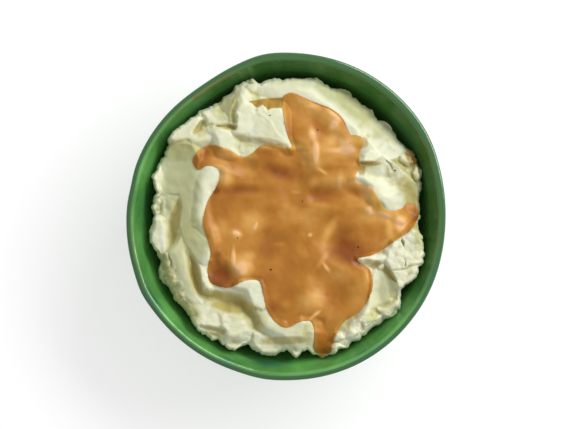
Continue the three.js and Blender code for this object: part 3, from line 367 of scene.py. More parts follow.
# Grains of pepper: x, y, how wide.
PEPPER = [
    (-9, 56, 1.1), (17.5, 48, 1.2), (9, 8.5, 1), (40, -17, 1.2), (-8.5, -29.5, 1.4), (60.5, 25.5, 1.3),
    (-27, -12, 0.9), (-30, -8.5, 0.6), (12, 62.5, 0.6), (35.5, 40.5, 0.6), (66, -23, 0.6), (-44, 32, 0.6),
]

# The thin film of gravy between the clods and the lobe.
FILM = [
    (-20.7, 63.9), (-17, 64.7), (-13, 65.5), (-8, 65.8), (-1, 66.2), (-1, 60.2), (-3, 60.2), (-8, 60),
    (-9.9, 58.9), (-11, 60.2), (-13, 62), (-15.5, 60.4), (-17, 60.7), (-18.8, 62.8),
]

# Gravy smeared or seeping over the mash: middle, radii, turn, strength.
STAINS = [
    (43.5, 41, 2, 3, 0, 0.6), (45, 29.3, 6, 1.2, 0, 0.6), (70.5, 33, 5.5, 3.4, -60, 0.85),
    (20, -80, 5.5, 2.6, 0, 1), (42, 26, 2.2, 3, 0, 0.7), (-9, 41.5, 8, 1.8, -12, 0.6),
    (47, -26, 4, 2.5, -40, 0.4), (53, 6, 2, 4, 40, 0.5),
]


# ---- curves and fields ---------------------------------------

WALL_RADII, WALL_HEIGHTS = zip(*INNER_WALL)


def smooth_through(points, steps, closed=False):
    """A smooth line through points with any number of values each."""
    knots = np.array(points, float)
    count = len(knots)
    line = []
    for i in range(count if closed else count - 1):
        beside = [(i + k) % count if closed else min(max(i + k, 0), count - 1) for k in (-1, 0, 1, 2)]
        before, start, end, after = knots[beside]
        pull, push = (end - before) / 2, (after - start) / 2
        cubic = 2 * start - 2 * end + pull + push
        square = 3 * end - 3 * start - 2 * pull - push
        line += [start + t * (pull + t * (square + t * cubic)) for t in np.arange(steps) / steps]
    if not closed:
        line.append(knots[-1])
    return np.array(line)


def nearest_on(line, x, y):
    """Distance to a line, the side (left of travel is positive) and the line's further values there."""
    best = np.full(x.shape, np.inf)
    side = np.zeros(x.shape)
    values = np.zeros((line.shape[1] - 2, len(x)))
    for a, b in zip(line[:-1], line[1:]):
        dx, dy = b[0] - a[0], b[1] - a[1]
        t = np.clip(((x - a[0]) * dx + (y - a[1]) * dy) / (dx * dx + dy * dy), 0, 1)
        off_x, off_y = x - a[0] - t * dx, y - a[1] - t * dy
        square = off_x * off_x + off_y * off_y
        near = square < best
        best = np.where(near, square, best)
        side = np.where(near, np.sign(dx * off_y - dy * off_x), side)
        for k in range(len(values)):
            values[k] = np.where(near, a[2 + k] + t * (b[2 + k] - a[2 + k]), values[k])
    return np.sqrt(best), side, values


def inside_by(outline, x, y):
    """Distance to a closed outline, positive inside it."""
    ring = np.array([*outline, outline[0]], float)
    inside = np.zeros(x.shape, bool)
    for a, b in zip(ring[:-1], ring[1:]):
        if a[1] != b[1]:
            inside ^= ((a[1] > y) != (b[1] > y)) & (x < (b[0] - a[0]) * (y - a[1]) / (b[1] - a[1]) + a[0])
    return nearest_on(ring, x, y)[0] * np.where(inside, 1, -1)


def smooth_step(value, low, high):
    t = np.clip((value - low) / (high - low), 0, 1)
    return t * t * (3 - 2 * t)


def waves(terms, angle):
    return sum(size * np.cos(count * (angle - math.radians(peak))) for count, size, peak in terms)


def bump_at(angle, degrees, width):
    """A bulge of height 1 at some degrees round the bowl."""
    return np.exp(-(((np.degrees(angle) - degrees + 180) % 360 - 180) / width) ** 2)


def on_circle(radius, angle):
    return radius * np.cos(angle), radius * np.sin(angle)


def turned(dx, dy, degrees):
    cos, sin = math.cos(math.radians(degrees)), math.sin(math.radians(degrees))
    return dx * cos + dy * sin, dy * cos - dx * sin


def spot(x, y, middle_x, middle_y, long, wide, turn):
    """A soft-edged ellipse: 1 in its middle, 0 from its rim out."""
    along, across = turned(x - middle_x, y - middle_y, turn)
    return np.maximum(1 - ((along / long) ** 2 + (across / wide) ** 2) / 2, 0) ** 2


def patches(x, y, places, hardness=2):
    """The strongest of some soft-edged patches."""
    return np.max([
        strength * np.minimum(hardness * spot(x, y, *ellipse), 1) for *ellipse, strength in places], axis=0)


def lattice(ix, iy, seed):
    """A steady random value from -1 to 1 for each whole-numbered point."""
    mixed = (ix * 374761393 + iy * 668265263 + seed * 1274126177) & 0xFFFFFFFF
    mixed = ((mixed ^ (mixed >> 13)) * 1274126177) & 0xFFFFFFFF
    return (mixed ^ (mixed >> 16)) / 2.0 ** 31 - 1


def unevenness(x, y, size, seed):
    """Smooth random hills from -1 to 1, about size across."""
    u, v = 0.8 * x / size + 0.6 * y / size, -0.6 * x / size + 0.8 * y / size
    ix, iy = np.floor(u).astype(np.int64), np.floor(v).astype(np.int64)
    fu, fv = (f ** 3 * (f * (f * 6 - 15) + 10) for f in (u - ix, v - iy))
    low, high = (
        lattice(ix, row, seed) * (1 - fu) + lattice(ix + 1, row, seed) * fu for row in (iy, iy + 1))
    return low * (1 - fv) + high * fv


def chips(x, y, size, seed):
    """Broken facets from about -1 to 1: the highest of the tilted plates round scattered middles."""
    u, v = 0.94 * x / size + 0.34 * y / size, -0.34 * x / size + 0.94 * y / size
    ix, iy = np.floor(u).astype(np.int64), np.floor(v).astype(np.int64)
    highest = np.full(x.shape, -np.inf)
    for step_x in (-1, 0, 1):
        for step_y in (-1, 0, 1):
            cx, cy = ix + step_x, iy + step_y
            off_u = u - cx - 0.5 - 0.4 * lattice(cx, cy, seed)
            off_v = v - cy - 0.5 - 0.4 * lattice(cx, cy, seed + 1)
            tilt = 0.8 * (lattice(cx, cy, seed + 2) * off_u + lattice(cx, cy, seed + 3) * off_v)
            plate = 0.5 * lattice(cx, cy, seed + 4) + tilt - 0.9 * (off_u * off_u + off_v * off_v)
            highest = np.maximum(highest, plate)
    return highest


# ---- the worked surface of the mash --------------------------

CURVE_STEPS = 6
CREST_EVENNESS = 0.9
CLOD_EVENNESS = 0.5
CHIP_SIZE = 5.5
CHIP_DEPTH = 1.25
CRUMB_SIZE = 2.3
CRUMB_DEPTH = 0.6
crown_line = smooth_through(CROWN, 8)
gravy_line = smooth_through(GRAVY_OUTLINE, 6, closed=True)


def work_in(surface, shape, up, blend, evenness):
    """Raises a shape on the surface (up is 1) or cuts it in (-1), and notes how even it is there."""
    z, smooth = surface
    share = np.clip(0.5 + 0.5 * up * (z - shape) / blend, 0, 1)
    joined = shape * (1 - share) + z * share + up * blend * share * (1 - share)
    return joined, np.where(up * shape > up * z, evenness, smooth)


def hollow_out(surface, x, y, paths):
    for path, rise, blend in paths:
        distance, _, (floor, half) = nearest_on(smooth_through(path, CURVE_STEPS), x, y)
        surface = work_in(surface, floor + rise * (distance / half) ** 2, -1, blend, 1)
    return surface


def lay_faces(surface, x, y, up):
    """Tilted planes inside their corners, which fall away outside them."""
    for kind, height, slopes, edge, evenness, corners in FACES:
        if kind == up:
            middle_x, middle_y = np.mean(corners, axis=0)
            plane = height + slopes[0] * (x - middle_x) + slopes[1] * (y - middle_y)
            outside = np.maximum(FACE_ROUNDING - inside_by(corners, x, y), 0)
            fall = edge * (np.hypot(outside, FACE_ROUNDING) - FACE_ROUNDING)
            blend = SCOOP_BLEND if evenness == 1 else FACE_BLEND
            surface = work_in(surface, plane - up * fall, up, blend, evenness)
    return surface


def mash_height(x, y):
    """Height of the worked mash, and how smoothly the spoon left it (1) or tore it (0)."""
    surface = np.interp(np.hypot(x, y), *crown_line.T), np.full(x.shape, 0.5)
    warp_x = x + 0.7 * unevenness(x, y, 8, 1) + 0.4 * unevenness(x, y, 3, 5)
    warp_y = y + 0.7 * unevenness(x, y, 8, 3) + 0.4 * unevenness(x, y, 3, 6)
    for path, fall_left, fall_right, blend in CRESTS:
        distance, side, (top, half) = nearest_on(smooth_through(path, CURVE_STEPS), warp_x, warp_y)
        crest = top - np.where(side > 0, fall_left, fall_right) * (distance / half) ** 2
        surface = work_in(surface, crest, 1, blend, CREST_EVENNESS)
    surface = lay_faces(surface, warp_x, warp_y, -1)
    surface = hollow_out(surface, warp_x, warp_y, SWIPES)
    surface = lay_faces(surface, warp_x, warp_y, 1)
    rough_x = unevenness(x, y, 3.5, 11) + 0.4 * unevenness(x, y, 1.7, 12)
    rough_y = unevenness(x, y, 3.5, 13) + 0.4 * unevenness(x, y, 1.7, 14)
    for middle_x, middle_y, top, long, wide, turn, drop, power, ragged in CLODS:
        along, across = turned(x - middle_x + ragged * rough_x, y - middle_y + ragged * rough_y, turn)
        out = np.minimum(np.hypot(along / long, across / wide), 3)
        surface = work_in(surface, top - drop * out ** power, 1, CLOD_BLEND, CLOD_EVENNESS)
    return hollow_out(surface, warp_x, warp_y, CRACKS)


def out_of_round(radius, height, angle):
    share = smooth_step(height, 0, RIM_HEIGHT)
    bulges = sum(size * bump_at(angle, degrees, width) for degrees, width, size in RIM_BULGES)
    return radius + (waves(RIM_WOBBLE, angle) + bulges * share) * share * radius / RIM_RADIUS


def mash_surface(x, y, reach, angle):
    """The worked height, rounded off down to the wall, and how torn it is."""
    height, smooth = mash_height(x, y)
    wall = reach + 2 * FIT_GAP
    wobble = out_of_round(wall, MASH_BORDER_HEIGHT, angle) - wall
    border = np.maximum(MASH_BORDER_HEIGHT, np.interp(wall - wobble, WALL_RADII, WALL_HEIGHTS))
    share = 1 - np.clip((reach - np.hypot(x, y)) / MASH_SHOULDER, 0, 1)
    torn = np.maximum(1 - smooth * (1 - share ** 2), patches(x, y, TORN_PATCHES, 1.6))
    bare = 1 - smooth_step(inside_by(gravy_line, x, y), -1, 1)
    broken = CHIP_DEPTH * chips(x, y, CHIP_SIZE, 31) + CRUMB_DEPTH * chips(x, y, CRUMB_SIZE, 41)
    swells = 0.25 * unevenness(x, y, 9, 33) + 0.12 * unevenness(x, y, 4, 34)
    height = height + bare * (torn * broken + swells)
    return border + (height - border) * np.sqrt(np.maximum(1 - share * share, 0)), torn


# ---- mesh helpers --------------------------------------------

def choose(piece):
    bpy.ops.object.select_all(action="DESELECT")
    piece.select_set(True)
    bpy.context.view_layer.objects.active = piece


def start_editing(piece):
    choose(piece)
    bpy.ops.object.mode_set(mode="EDIT")


def stop_editing():
    bpy.ops.object.mode_set(mode="OBJECT")


def turn_faces_outwards():
    bpy.ops.mesh.select_all(action="SELECT")
    bpy.ops.mesh.normals_make_consistent(inside=False)
    stop_editing()


def select_open_edges():
    bpy.ops.mesh.select_all(action="DESELECT")
    bpy.ops.mesh.select_non_manifold(extend=False)


def named(piece, name):
    piece.name = name
    piece.data.name = name
    return piece


def kept(items, name, kind, *each):
    """What a mesh keeps under a name for all its points or edges."""
    flat = np.empty(len(items) * math.prod(each), kind)
    items.foreach_get(name, flat)
    return flat.reshape(len(items), *each)


def points_of(piece):
    return kept(piece.data.vertices, "co", float, 3) / MM


def move_points(piece, points):
    piece.data.vertices.foreach_set("co", np.ascontiguousarray(points * MM).ravel())
    piece.data.update()


def edge_ends(piece):
    return kept(piece.data.edges, "vertices", np.int64, 2)


def select_points(piece, chosen):
    """Selects points and the edges between them."""
    piece.data.polygons.foreach_set("select", np.zeros(len(piece.data.polygons), bool))
    piece.data.vertices.foreach_set("select", chosen)
    piece.data.edges.foreach_set("select", chosen[edge_ends(piece)].all(axis=1))


def keep_attribute(piece, name, values):
    layer = piece.data.attributes.new(name, "FLOAT", "POINT")
    layer.data.foreach_set("value", np.ascontiguousarray(values, np.float32))


def weight_group(piece, name, values):
    group = piece.vertex_groups.new(name=name)
    steps = np.round(np.clip(values, 0, 1) * 20).astype(int)
    for step in range(1, 21):
        group.add(np.nonzero(steps == step)[0].tolist(), step / 20, "REPLACE")


def spread_over(piece, values, rounds):
    """Averages values with their neighbours' along the edges."""
    a, b = edge_ends(piece).T
    count = len(values)
    links = np.bincount(a, minlength=count) + np.bincount(b, minlength=count)
    for _ in range(rounds):
        near = np.bincount(a, values[b], count) + np.bincount(b, values[a], count)
        values = 0.5 * values + 0.5 * near / links
    return values


def sunk(piece, heights, rounds, depth):
    """How far each point lies below what is round it, as a share of a depth."""
    return np.clip((spread_over(piece, heights, rounds) - heights) / depth, 0, 1)


# ---- bowl ----------------------------------------------------

BOWL_SEGMENTS = 192
# Where the light comes from, for the glaze's painted shade.
LIGHT_FROM = math.radians(50)


def bowl_profile():
    inner = smooth_through(INNER_WALL + LIP, 5)
    outer = smooth_through([LIP[-1]] + OUTER_WALL, 5)[1:]
    foot = [
        (FOOT_RADIUS + 0.2, 1.6), (FOOT_RADIUS, 0.6), (FOOT_RADIUS - 0.6, 0), (FOOT_INNER_RADIUS + 0.6, 0),
        (FOOT_INNER_RADIUS, 0.6), (FOOT_INNER_RADIUS - 0.6, FOOT_RECESS), (12, FOOT_RECESS)]
    return [*inner[1:], *outer, *foot]


def mark_glaze(bowl, radius, height, angle):
    """How far each point lies on the darker lip (with a painted shade line along its inner edge on the side
    away from the light), in painted shade on that side, in a pool of glaze or on worn glaze.
    """
    # The outer lip is darker all round, and a painted shade line lies along the inner edge, strongest on
    # the side away from the light.
    outside = smooth_step(radius, 86.8, 88) * smooth_step(height, 46, 60)
    edge = np.exp(-((height - 60.6) / 0.8) ** 2) * (radius < 86.8) * (height > 55)
    facing = np.cos(angle - LIGHT_FROM)
    keep_attribute(bowl, "lip", np.clip(outside + edge * smooth_step(facing, 0.2, 0.9), 0, 1))
    # Painted shade over the glaze on the side turned away from the light.
    keep_attribute(bowl, "shaded", 0.9 * smooth_step(facing, -0.1, 0.7))
    pooled = sum(strength * bump_at(angle, degrees, width) * np.exp(-((height - middle) / depth) ** 2)
                 for degrees, width, middle, depth, strength in GLAZE_POOLS)
    keep_attribute(bowl, "pooled", np.clip(pooled, 0, 1))
    breaks = sum(strength * bump_at(angle, degrees, width) for degrees, width, strength in GLAZE_BREAKS)
    ragged = np.clip(0.6 + 0.9 * unevenness(*on_circle(radius, angle), 5, 55), 0, 1)
    near_edge = np.exp(-((height - 60.9) / 1.3) ** 2) * (radius < 88)
    keep_attribute(bowl, "worn", np.clip(near_edge * breaks * ragged, 0, 1))


def make_bowl():
    profile = bowl_profile()
    radius, height = profile[0]
    bpy.ops.mesh.primitive_circle_add(
        vertices=BOWL_SEGMENTS, radius=radius * MM, fill_type="TRIFAN", location=(0, 0, height * MM))
    bowl = named(bpy.context.active_object, "bowl_glazed")
    bpy.ops.object.transform_apply(location=True, rotation=True, scale=True)
    start_editing(bowl)
    select_open_edges()
    for (from_radius, from_height), (radius, height) in zip(profile[:-1], profile[1:]):
        rise, scale = (height - from_height) * MM, radius / from_radius
        bpy.ops.mesh.extrude_edges_move(TRANSFORM_OT_translate={"value": (0, 0, rise)})
        bpy.ops.transform.resize(value=(scale, scale, 1), center_override=(0, 0, 0))
    bpy.ops.mesh.edge_face_add()
    turn_faces_outwards()
    x, y, height = points_of(bowl).T
    radius, angle = np.hypot(x, y), np.arctan2(y, x)
    mark_glaze(bowl, radius, height, angle)
    throwing = 0.06 * np.sin(height / 0.9 + 1.5 * np.sin(angle)) * smooth_step(height, 6, 20)
    throwing *= 1 - smooth_step(height, 50, 56)
    dents = 0.35 * unevenness(90 * angle, height, 26, 51) * smooth_step(height, 10, 40)
    seam = 0.5 + 0.5 * np.cos(angle)
    grown = out_of_round(radius, height, angle) + (throwing + dents * seam) * (radius > 5)
    lifted = height + waves(LIP_WOBBLE, angle) * smooth_step(height, FLOOR_HEIGHT, RIM_HEIGHT)
    move_points(bowl, np.column_stack([*on_circle(grown, angle), lifted]))
    bpy.ops.object.shade_smooth()
    return bowl


# ---- mashed potato -------------------------------------------

FIRST_CUTS = 12
SECOND_CUTS = 12
BORDER_RINGS_SHARE = 0.88       # this share of the rings lies inside the next share of the radius
BORDER_RADIUS_SHARE = 0.92
BORDER_MEAN = 77
ON_BORDER = 0.9999


def make_mash():
    bpy.ops.mesh.primitive_circle_add(vertices=6, radius=1, fill_type="TRIFAN", location=(0, 0, 0))
    mash = named(bpy.context.active_object, "mash_worked")
    start_editing(mash)
    bpy.ops.mesh.select_all(action="SELECT")
    bpy.ops.mesh.subdivide(number_cuts=FIRST_CUTS)
    bpy.ops.mesh.subdivide(number_cuts=SECOND_CUTS)
    stop_editing()
    # The hexagon of radius 1 is spread over the mash, its rings closer together near the border.
    x, y, _ = points_of(mash).T * MM
    angle = np.arctan2(y, x)
    sides = np.radians(60 * np.arange(6))
    ring = np.max([x * math.cos(side) + y * math.sin(side) for side in sides], axis=0)
    ring /= math.cos(math.radians(30))
    ring = np.interp(ring, [0, BORDER_RINGS_SHARE, 1], [0, BORDER_RADIUS_SHARE, 1])
    round_x, round_y = on_circle(BORDER_MEAN, angle)
    turns, reaches = zip(*MASH_REACH)
    reach = np.interp(np.degrees(angle) % 360, turns, reaches, period=360)
    reach += 0.5 * unevenness(round_x, round_y, 4, 21)
    reach += 1.1 * chips(round_x, round_y, 4.5, 23) + 0.9 * chips(round_x, round_y, 2.1, 27)
    x, y = on_circle(ring * reach, angle)
    z, torn = mash_surface(x, y, reach, angle)
    move_points(mash, np.column_stack([x, y, z]))
    close_below(mash, ring > ON_BORDER)
    return mash, torn


def close_below(mash, border):
    """Carries the border down the wall of the bowl and across its floor."""
    select_points(mash, border)
    bpy.context.tool_settings.mesh_select_mode = (False, True, False)
    for height in (MASH_CONTACT_HEIGHT, 22, 12.5):
        start_editing(mash)
        bpy.ops.mesh.extrude_edges_move()
        stop_editing()
        points = points_of(mash)
        chosen = kept(mash.data.vertices, "select", bool)
        angle = np.arctan2(points[chosen, 1], points[chosen, 0])
        wall = out_of_round(np.interp(height - FIT_GAP, WALL_HEIGHTS, WALL_RADII), height, angle)
        points[chosen, 0], points[chosen, 1] = on_circle(wall - FIT_GAP, angle)
        points[chosen, 2] = height + 2 * FIT_GAP
        move_points(mash, points)
    start_editing(mash)
    bpy.ops.mesh.edge_face_add()
    turn_faces_outwards()
    bpy.context.tool_settings.mesh_select_mode = (True, False, False)


def crumble(mash, torn_top):
    """Clods, crumbs and fine unevenness, where the spoon tore the mash."""
    x, y, _ = points_of(mash).T
    top = np.arange(len(x)) < len(torn_top)
    torn = np.zeros(len(x))
    torn[top] = torn_top
    bare = top * (1 - smooth_step(inside_by(gravy_line, x, y), -0.6, 1.5))
    torn = spread_over(mash, torn, 4) * bare
    weight_group(mash, "torn", torn)
    weight_group(mash, "all_over", bare)
    choose(mash)
    for name, group, size, detail, strength in (
        ("clods", "torn", 3.2, 2, 0.6), ("crumbs", "torn", 1.2, 2, 0.35),
        ("swells", "all_over", 6, 1, 0.5), ("grain", "all_over", 0.9, 1, 0.07),
    ):
        clouds = bpy.data.textures.new(name, "CLOUDS")
        clouds.noise_scale = size * MM
        clouds.noise_depth = detail
        displace = mash.modifiers.new(name, "DISPLACE")
        displace.texture = clouds
        displace.vertex_group = group
        displace.strength = strength * MM
        bpy.ops.object.modifier_apply(modifier=name)
    bpy.ops.object.shade_smooth()
    return torn


# ---- gravy ---------------------------------------------------

GRAVY_SPACING = 0.55
GRAVY_SINK = 0.5                # how far its underside lies in the mash
GRAVY_LIFT = 0.65               # how much of a lump's height still shows at the gravy's skin


def gravy_top(x, y, toward_middle):
    """Height of the mash, and of the gravy's skin over it."""
    mash, _ = mash_height(x, y)
    share = 1 - np.clip(toward_middle / GRAVY_ROUNDING, 0, 1)
    pool = GRAVY_EDGE + (GRAVY_THICKNESS - GRAVY_EDGE) * (1 - share * share)
    inner = smooth_step(toward_middle, 0, 4)
    lifts = GRAVY_LIFT * sum(rise * spot(x, y, *ellipse) for *ellipse, rise, _ in GRAVY_SPOTS)
    swell = 0.35 * unevenness(x, y, 13, 61) + 0.2 * unevenness(x, y, 5, 62)
    swell += 0.05 * unevenness(x, y, 2.2, 63)
    return mash, mash + pool + lifts * (0.3 + 0.7 * inner) + swell * inner


def make_gravy():
    low, high = gravy_line.min(axis=0) - 1, gravy_line.max(axis=0) + 1
    size = high - low
    columns, rows = (int(math.ceil(s / GRAVY_SPACING)) for s in size)
    bpy.ops.mesh.primitive_grid_add(x_subdivisions=columns, y_subdivisions=rows, size=1, location=(0, 0, 0))
    gravy = named(bpy.context.active_object, "gravy_poured")
    x, y = (low + (points_of(gravy)[:, :2] * MM + 0.5) * size).T
    toward = inside_by(gravy_line, x, y)
    step = 0.05
    slope_x = (inside_by(gravy_line, x + step, y) - toward) / step
    slope_y = (inside_by(gravy_line, x, y + step) - toward) / step
    steepness = np.maximum(np.hypot(slope_x, slope_y), 0.3)
    # Points near the outline move onto it, and those outside it go.
    shift = np.where(np.abs(toward) < 0.5 * GRAVY_SPACING, toward, 0) / steepness ** 2
    move_points(gravy, np.column_stack([x - shift * slope_x, y - shift * slope_y, 0 * x]))
    select_points(gravy, (toward < 0) & (shift == 0))
    start_editing(gravy)
    bpy.ops.mesh.delete(type="VERT")
    select_open_edges()
    bpy.ops.mesh.vertices_smooth(factor=0.5, repeat=4)
    bpy.ops.mesh.select_all(action="SELECT")
    bpy.ops.mesh.extrude_region_move(TRANSFORM_OT_translate={"value": (0, 0, MM)})
    stop_editing()
    x, y, upper = points_of(gravy).T
    mash, top = gravy_top(x, y, np.maximum(inside_by(gravy_line, x, y), 0))
    under = np.minimum(mash - GRAVY_SINK, top - 0.2)
    move_points(gravy, np.column_stack([x, y, np.where(upper > 0.5, top, under)]))
    start_editing(gravy)
    turn_faces_outwards()
    bpy.ops.object.shade_smooth()
    return gravy


# ---- pepper --------------------------------------------------

def make_pepper(grounds, centre):
    """Flat angular grains, half sunk in what they lie on."""
    points = np.vstack([points_of(ground) for ground in grounds])
    grains = []
    for index, (x, y, size) in enumerate(PEPPER):
        x, y = x - centre[0], y - centre[1]
        near = np.hypot(points[:, 0] - x, points[:, 1] - y) < 0.8
        height = points[near, 2].max()
        bpy.ops.mesh.primitive_ico_sphere_add(
            subdivisions=1, radius=size / 2 * MM, location=(x * MM, y * MM, height * MM))
        grain = bpy.context.active_object
        grain.scale = (1, 0.7, 0.45)
        grain.rotation_euler = (0.2 * (index % 3), 0.15 * (index % 2), 0.8 * index)
        bpy.ops.object.transform_apply(location=True, rotation=True, scale=True)
        grains.append(grain)
    for grain in grains:
        grain.select_set(True)
    bpy.context.view_layer.objects.active = grains[0]
    bpy.ops.object.join()
    return named(grains[0], "pepper_grains")


# ---- materials -----------------------------------------------

GRAIN_DEPTH = 0.3 * MM


def set_up(tree, node, settings):
    """Gives a node its inputs and values by name. What another node puts out is linked."""
    for key, value in settings.items():
        if isinstance(value, bpy.types.NodeSocket):
            tree.links.new(value, node.inputs[key])
        elif key in node.inputs:
            node.inputs[key].default_value = value
        else:
            setattr(node, key, value)
    return node


def add(tree, kind, **settings):
    return set_up(tree, tree.nodes.new(kind), settings)


def attribute(tree, name):
    return add(tree, "ShaderNodeAttribute", attribute_name=name).outputs["Fac"]


def noise(tree, place, scale, detail=3, roughness=0.5):
    return add(tree, "ShaderNodeTexNoise", Vector=place, Scale=scale, Detail=detail,
               Roughness=roughness).outputs["Fac"]


def ramp(tree, factor, stops):
    node = add(tree, "ShaderNodeValToRGB", Fac=factor)
    elements = node.color_ramp.elements
    while len(elements) < len(stops):
        elements.new(0.5)
    for element, (place, colour) in zip(elements, stops):
        element.position = place
        element.color = (*colour, 1)
    return node.outputs["Color"]


def laid_over(tree, share, under, colour):
    node = add(tree, "ShaderNodeMix", data_type="RGBA")
    tree.links.new(share, node.inputs[0])
    tree.links.new(under, node.inputs[6])
    node.inputs[7].default_value = (*colour, 1)
    return node.outputs[2]


def plain(name, shading):
    material = bpy.data.materials.new(name)
    material.use_nodes = True
    set_up(material.node_tree, material.node_tree.nodes["Principled BSDF"], shading)
    return material


def layered(name, base, stops, layers, grain, shading):
    """A base colour that drifts or follows an attribute, layers that follow others, and a fine grain."""
    material = plain(name, shading)
    tree = material.node_tree
    place = add(tree, "ShaderNodeTexCoord").outputs["Object"]
    factor = attribute(tree, base) if isinstance(base, str) else noise(tree, place, *base)
    colour = ramp(tree, factor, stops)
    for layer, paint in layers:
        colour = laid_over(tree, attribute(tree, layer), colour, paint)
    set_up(tree, tree.nodes["Principled BSDF"], {"Base Color": colour})
    if grain:
        scale, strength = grain
        height = noise(tree, place, scale)
        bump = add(tree, "ShaderNodeBump", Height=height, Strength=strength, Distance=GRAIN_DEPTH)
        set_up(tree, tree.nodes["Principled BSDF"], {"Normal": bump.outputs["Normal"]})
    return material


def green_glaze():
    return layered(
        "green_glaze", (30, 5, 0.6), [(0.36, (0.058, 0.215, 0.042)), (0.64, (0.125, 0.39, 0.09))],
        # The shaded layer and the lip's inner line are painted shade.
        [("shaded", (0.042, 0.145, 0.024)), ("lip", (0.03, 0.125, 0.028)), ("pooled", (0.012, 0.1, 0.075)),
         ("worn", (0.15, 0.085, 0.018))],
        (260, 0.25), {"Roughness": 0.11, "Specular IOR Level": 0.8})


def creamy_mash():
    return layered(
        "creamy_mash", (60, 4), [(0.3, (0.735, 0.735, 0.5)), (0.7, (0.75, 0.765, 0.59))],
        # Layers: the olive tint in hollows and lee is painted shade, the next dampness with painted shade,
        # the last a gravy stain.
        [("painted_shade", (0.52, 0.53, 0.245)), ("damp_and_shade", (0.47, 0.4, 0.135)), ("stain", (0.4, 0.235, 0.042))],
        (1400, 0.25),
        {"Roughness": 0.6, "Specular IOR Level": 0.25, "Subsurface Weight": 0.5,
         "Subsurface Radius": (1, 0.95, 0.35), "Subsurface Scale": 0.0016})


def brown_gravy():
    return layered(
        "brown_gravy", "depth",
        # The lowest stop is a painted peach highlight; the others run from thin to thick gravy.
        [(0, (0.8, 0.47, 0.22)), (0.2, (0.68, 0.36, 0.085)), (0.6, (0.46, 0.185, 0.02)),
         (1, (0.25, 0.065, 0.004))],
        [("thin", (0.56, 0.335, 0.065))], (300, 0.2),
        {"Roughness": 0.38, "Specular IOR Level": 0.3, "Subsurface Weight": 0.15,
         "Subsurface Radius": (1, 0.5, 0.1), "Subsurface Scale": 0.002})


def cracked_pepper():
    return layered(
        "cracked_pepper", (900, 2), [(0.35, (0.008, 0.003, 0.002)), (0.65, (0.03, 0.011, 0.005))],
        [], None, {"Roughness": 0.9, "Specular IOR Level": 0.1})


# ---- the dish ------------------------------------------------

bowl = make_bowl()
mash, torn_top = make_mash()
torn = crumble(mash, torn_top)
gravy = make_gravy()

# The rim's box is centred over the origin.
rim = points_of(bowl)
centre = (rim.min(axis=0) + rim.max(axis=0)) / 2 * (1, 1, 0)
for piece in (bowl, mash, gravy):
    move_points(piece, points_of(piece) - centre)

# The gravy's colour: lighter where thin and darker where thick, with painted highlights and painted shade
# from the spots and the seam.
x, y, _ = points_of(gravy).T
depth_shade_and_sheen = 0.5 + 0.18 * unevenness(x, y, 12, 71) + 0.08 * unevenness(x, y, 4.5, 72)
depth_shade_and_sheen += 0.03 * unevenness(x, y, 2, 73)
depth_shade_and_sheen += 0.65 * sum(depth * spot(x, y, *ellipse) for *ellipse, _, depth in GRAVY_SPOTS)
depth_shade_and_sheen -= 0.2 * (1 - smooth_step(inside_by(gravy_line, x, y), 0, 1.5))
# Painted shade along the seam.
depth_shade_and_sheen += 0.9 * np.exp(-(nearest_on(smooth_through(GRAVY_SEAM_SHADE, 4), x, y)[0] / SEAM_SHADE_WIDTH) ** 2)
keep_attribute(gravy, "depth", np.clip(0.2 + 0.8 * depth_shade_and_sheen, 0, 1))
keep_attribute(gravy, "thin", patches(x, y, THIN_EDGES))

x, y, heights = points_of(mash).T
film = smooth_step(inside_by(FILM, x, y), -0.3, 0.4)
# Painted shade: an olive tint in the hollows and in the lee patches.
painted_shade = sunk(mash, heights, 150, 3)
# Painted shade in the crevices of torn places, laid on with the dampness patches and the film.
crevices = sunk(mash, heights, 25, 0.5) * np.clip(torn, 0, 1)
keep_attribute(mash, "stain", np.maximum(patches(x, y, STAINS), film))
keep_attribute(mash, "damp_and_shade", np.max([patches(x, y, DAMP_AND_SHADE_PATCHES), film, 0.7 * crevices], axis=0))
keep_attribute(mash, "painted_shade", np.maximum(painted_shade, patches(x, y, PAINTED_SHADE_PATCHES)))

pepper = make_pepper([mash, gravy], centre)

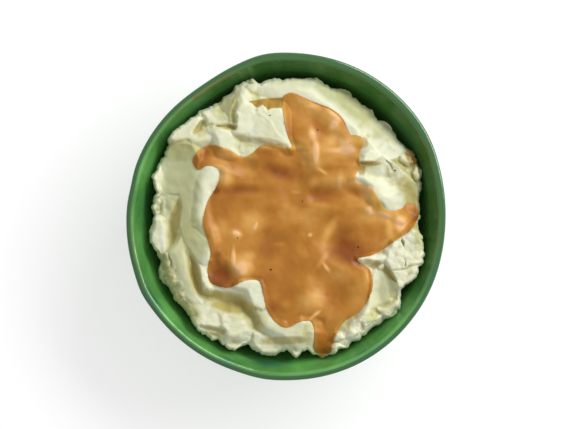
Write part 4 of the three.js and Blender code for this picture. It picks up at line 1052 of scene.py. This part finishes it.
for piece, material, slot, node in (
    (bowl, green_glaze(), "green_glaze", "bowl"), (mash, creamy_mash(), "mash", "mashed_potato"),
    (gravy, brown_gravy(), "gravy", "gravy"), (pepper, cracked_pepper(), "gravy", None),
):
    piece.data.materials.append(material)
    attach(piece, "root")
    if node:
        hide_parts(node)

# ---- floor, light and camera ---------------------------------

WINDOW_PLACE = (0.86, 0.72, 1)
WINDOW_SIDE = (0.77, 0.64, 0)
CAMERA_ABOVE_RIM = 1.3
RIM_VIEW_WIDTH = 0.3234         # how wide the view is at the height of the rim

bpy.ops.mesh.primitive_plane_add(size=8, location=(0, 0, 0))
floor = named(bpy.context.active_object, "floor")
floor.data.materials.append(plain("pale_floor", {
    "Base Color": (0.5, 0.5, 0.5, 1), "Roughness": 0.9,
    "Emission Color": (1, 1, 1, 1), "Emission Strength": 0.56}))

scene = bpy.context.scene
scene.view_settings.view_transform = "Standard"
scene.world = bpy.data.worlds.new("studio")
scene.world.use_nodes = True
room = scene.world.node_tree
toward_window = add(room, "ShaderNodeVectorMath", operation="DOT_PRODUCT")
room.links.new(add(room, "ShaderNodeTexCoord").outputs["Generated"], toward_window.inputs[0])
toward_window.inputs[1].default_value = WINDOW_SIDE
brightness = set_up(room, add(room, "ShaderNodeMapRange"), {
    "Value": toward_window.outputs["Value"], "From Min": -1, "From Max": 1, "To Min": 0.42, "To Max": 0.75})
set_up(room, room.nodes["Background"], {"Color": (1, 1, 1, 1), "Strength": brightness.outputs["Result"]})

lamp = bpy.data.lights.new("window", "AREA")
lamp.shape = "RECTANGLE"
lamp.size = 1.35
lamp.size_y = 0.45
lamp.energy = 16.8
window = bpy.data.objects.new("window", lamp)
scene.collection.objects.link(window)
window.location = WINDOW_PLACE
window.rotation_euler = (-window.location).to_track_quat("-Z", "Y").to_euler()

camera_data = bpy.data.cameras.new("overhead")
camera_data.sensor_width = 36
camera_data.lens = CAMERA_ABOVE_RIM * camera_data.sensor_width / RIM_VIEW_WIDTH
camera = bpy.data.objects.new("overhead", camera_data)
scene.collection.objects.link(camera)
camera.location = (0.0028, 0.0011, CAMERA_ABOVE_RIM + RIM_HEIGHT * MM)
scene.camera = camera
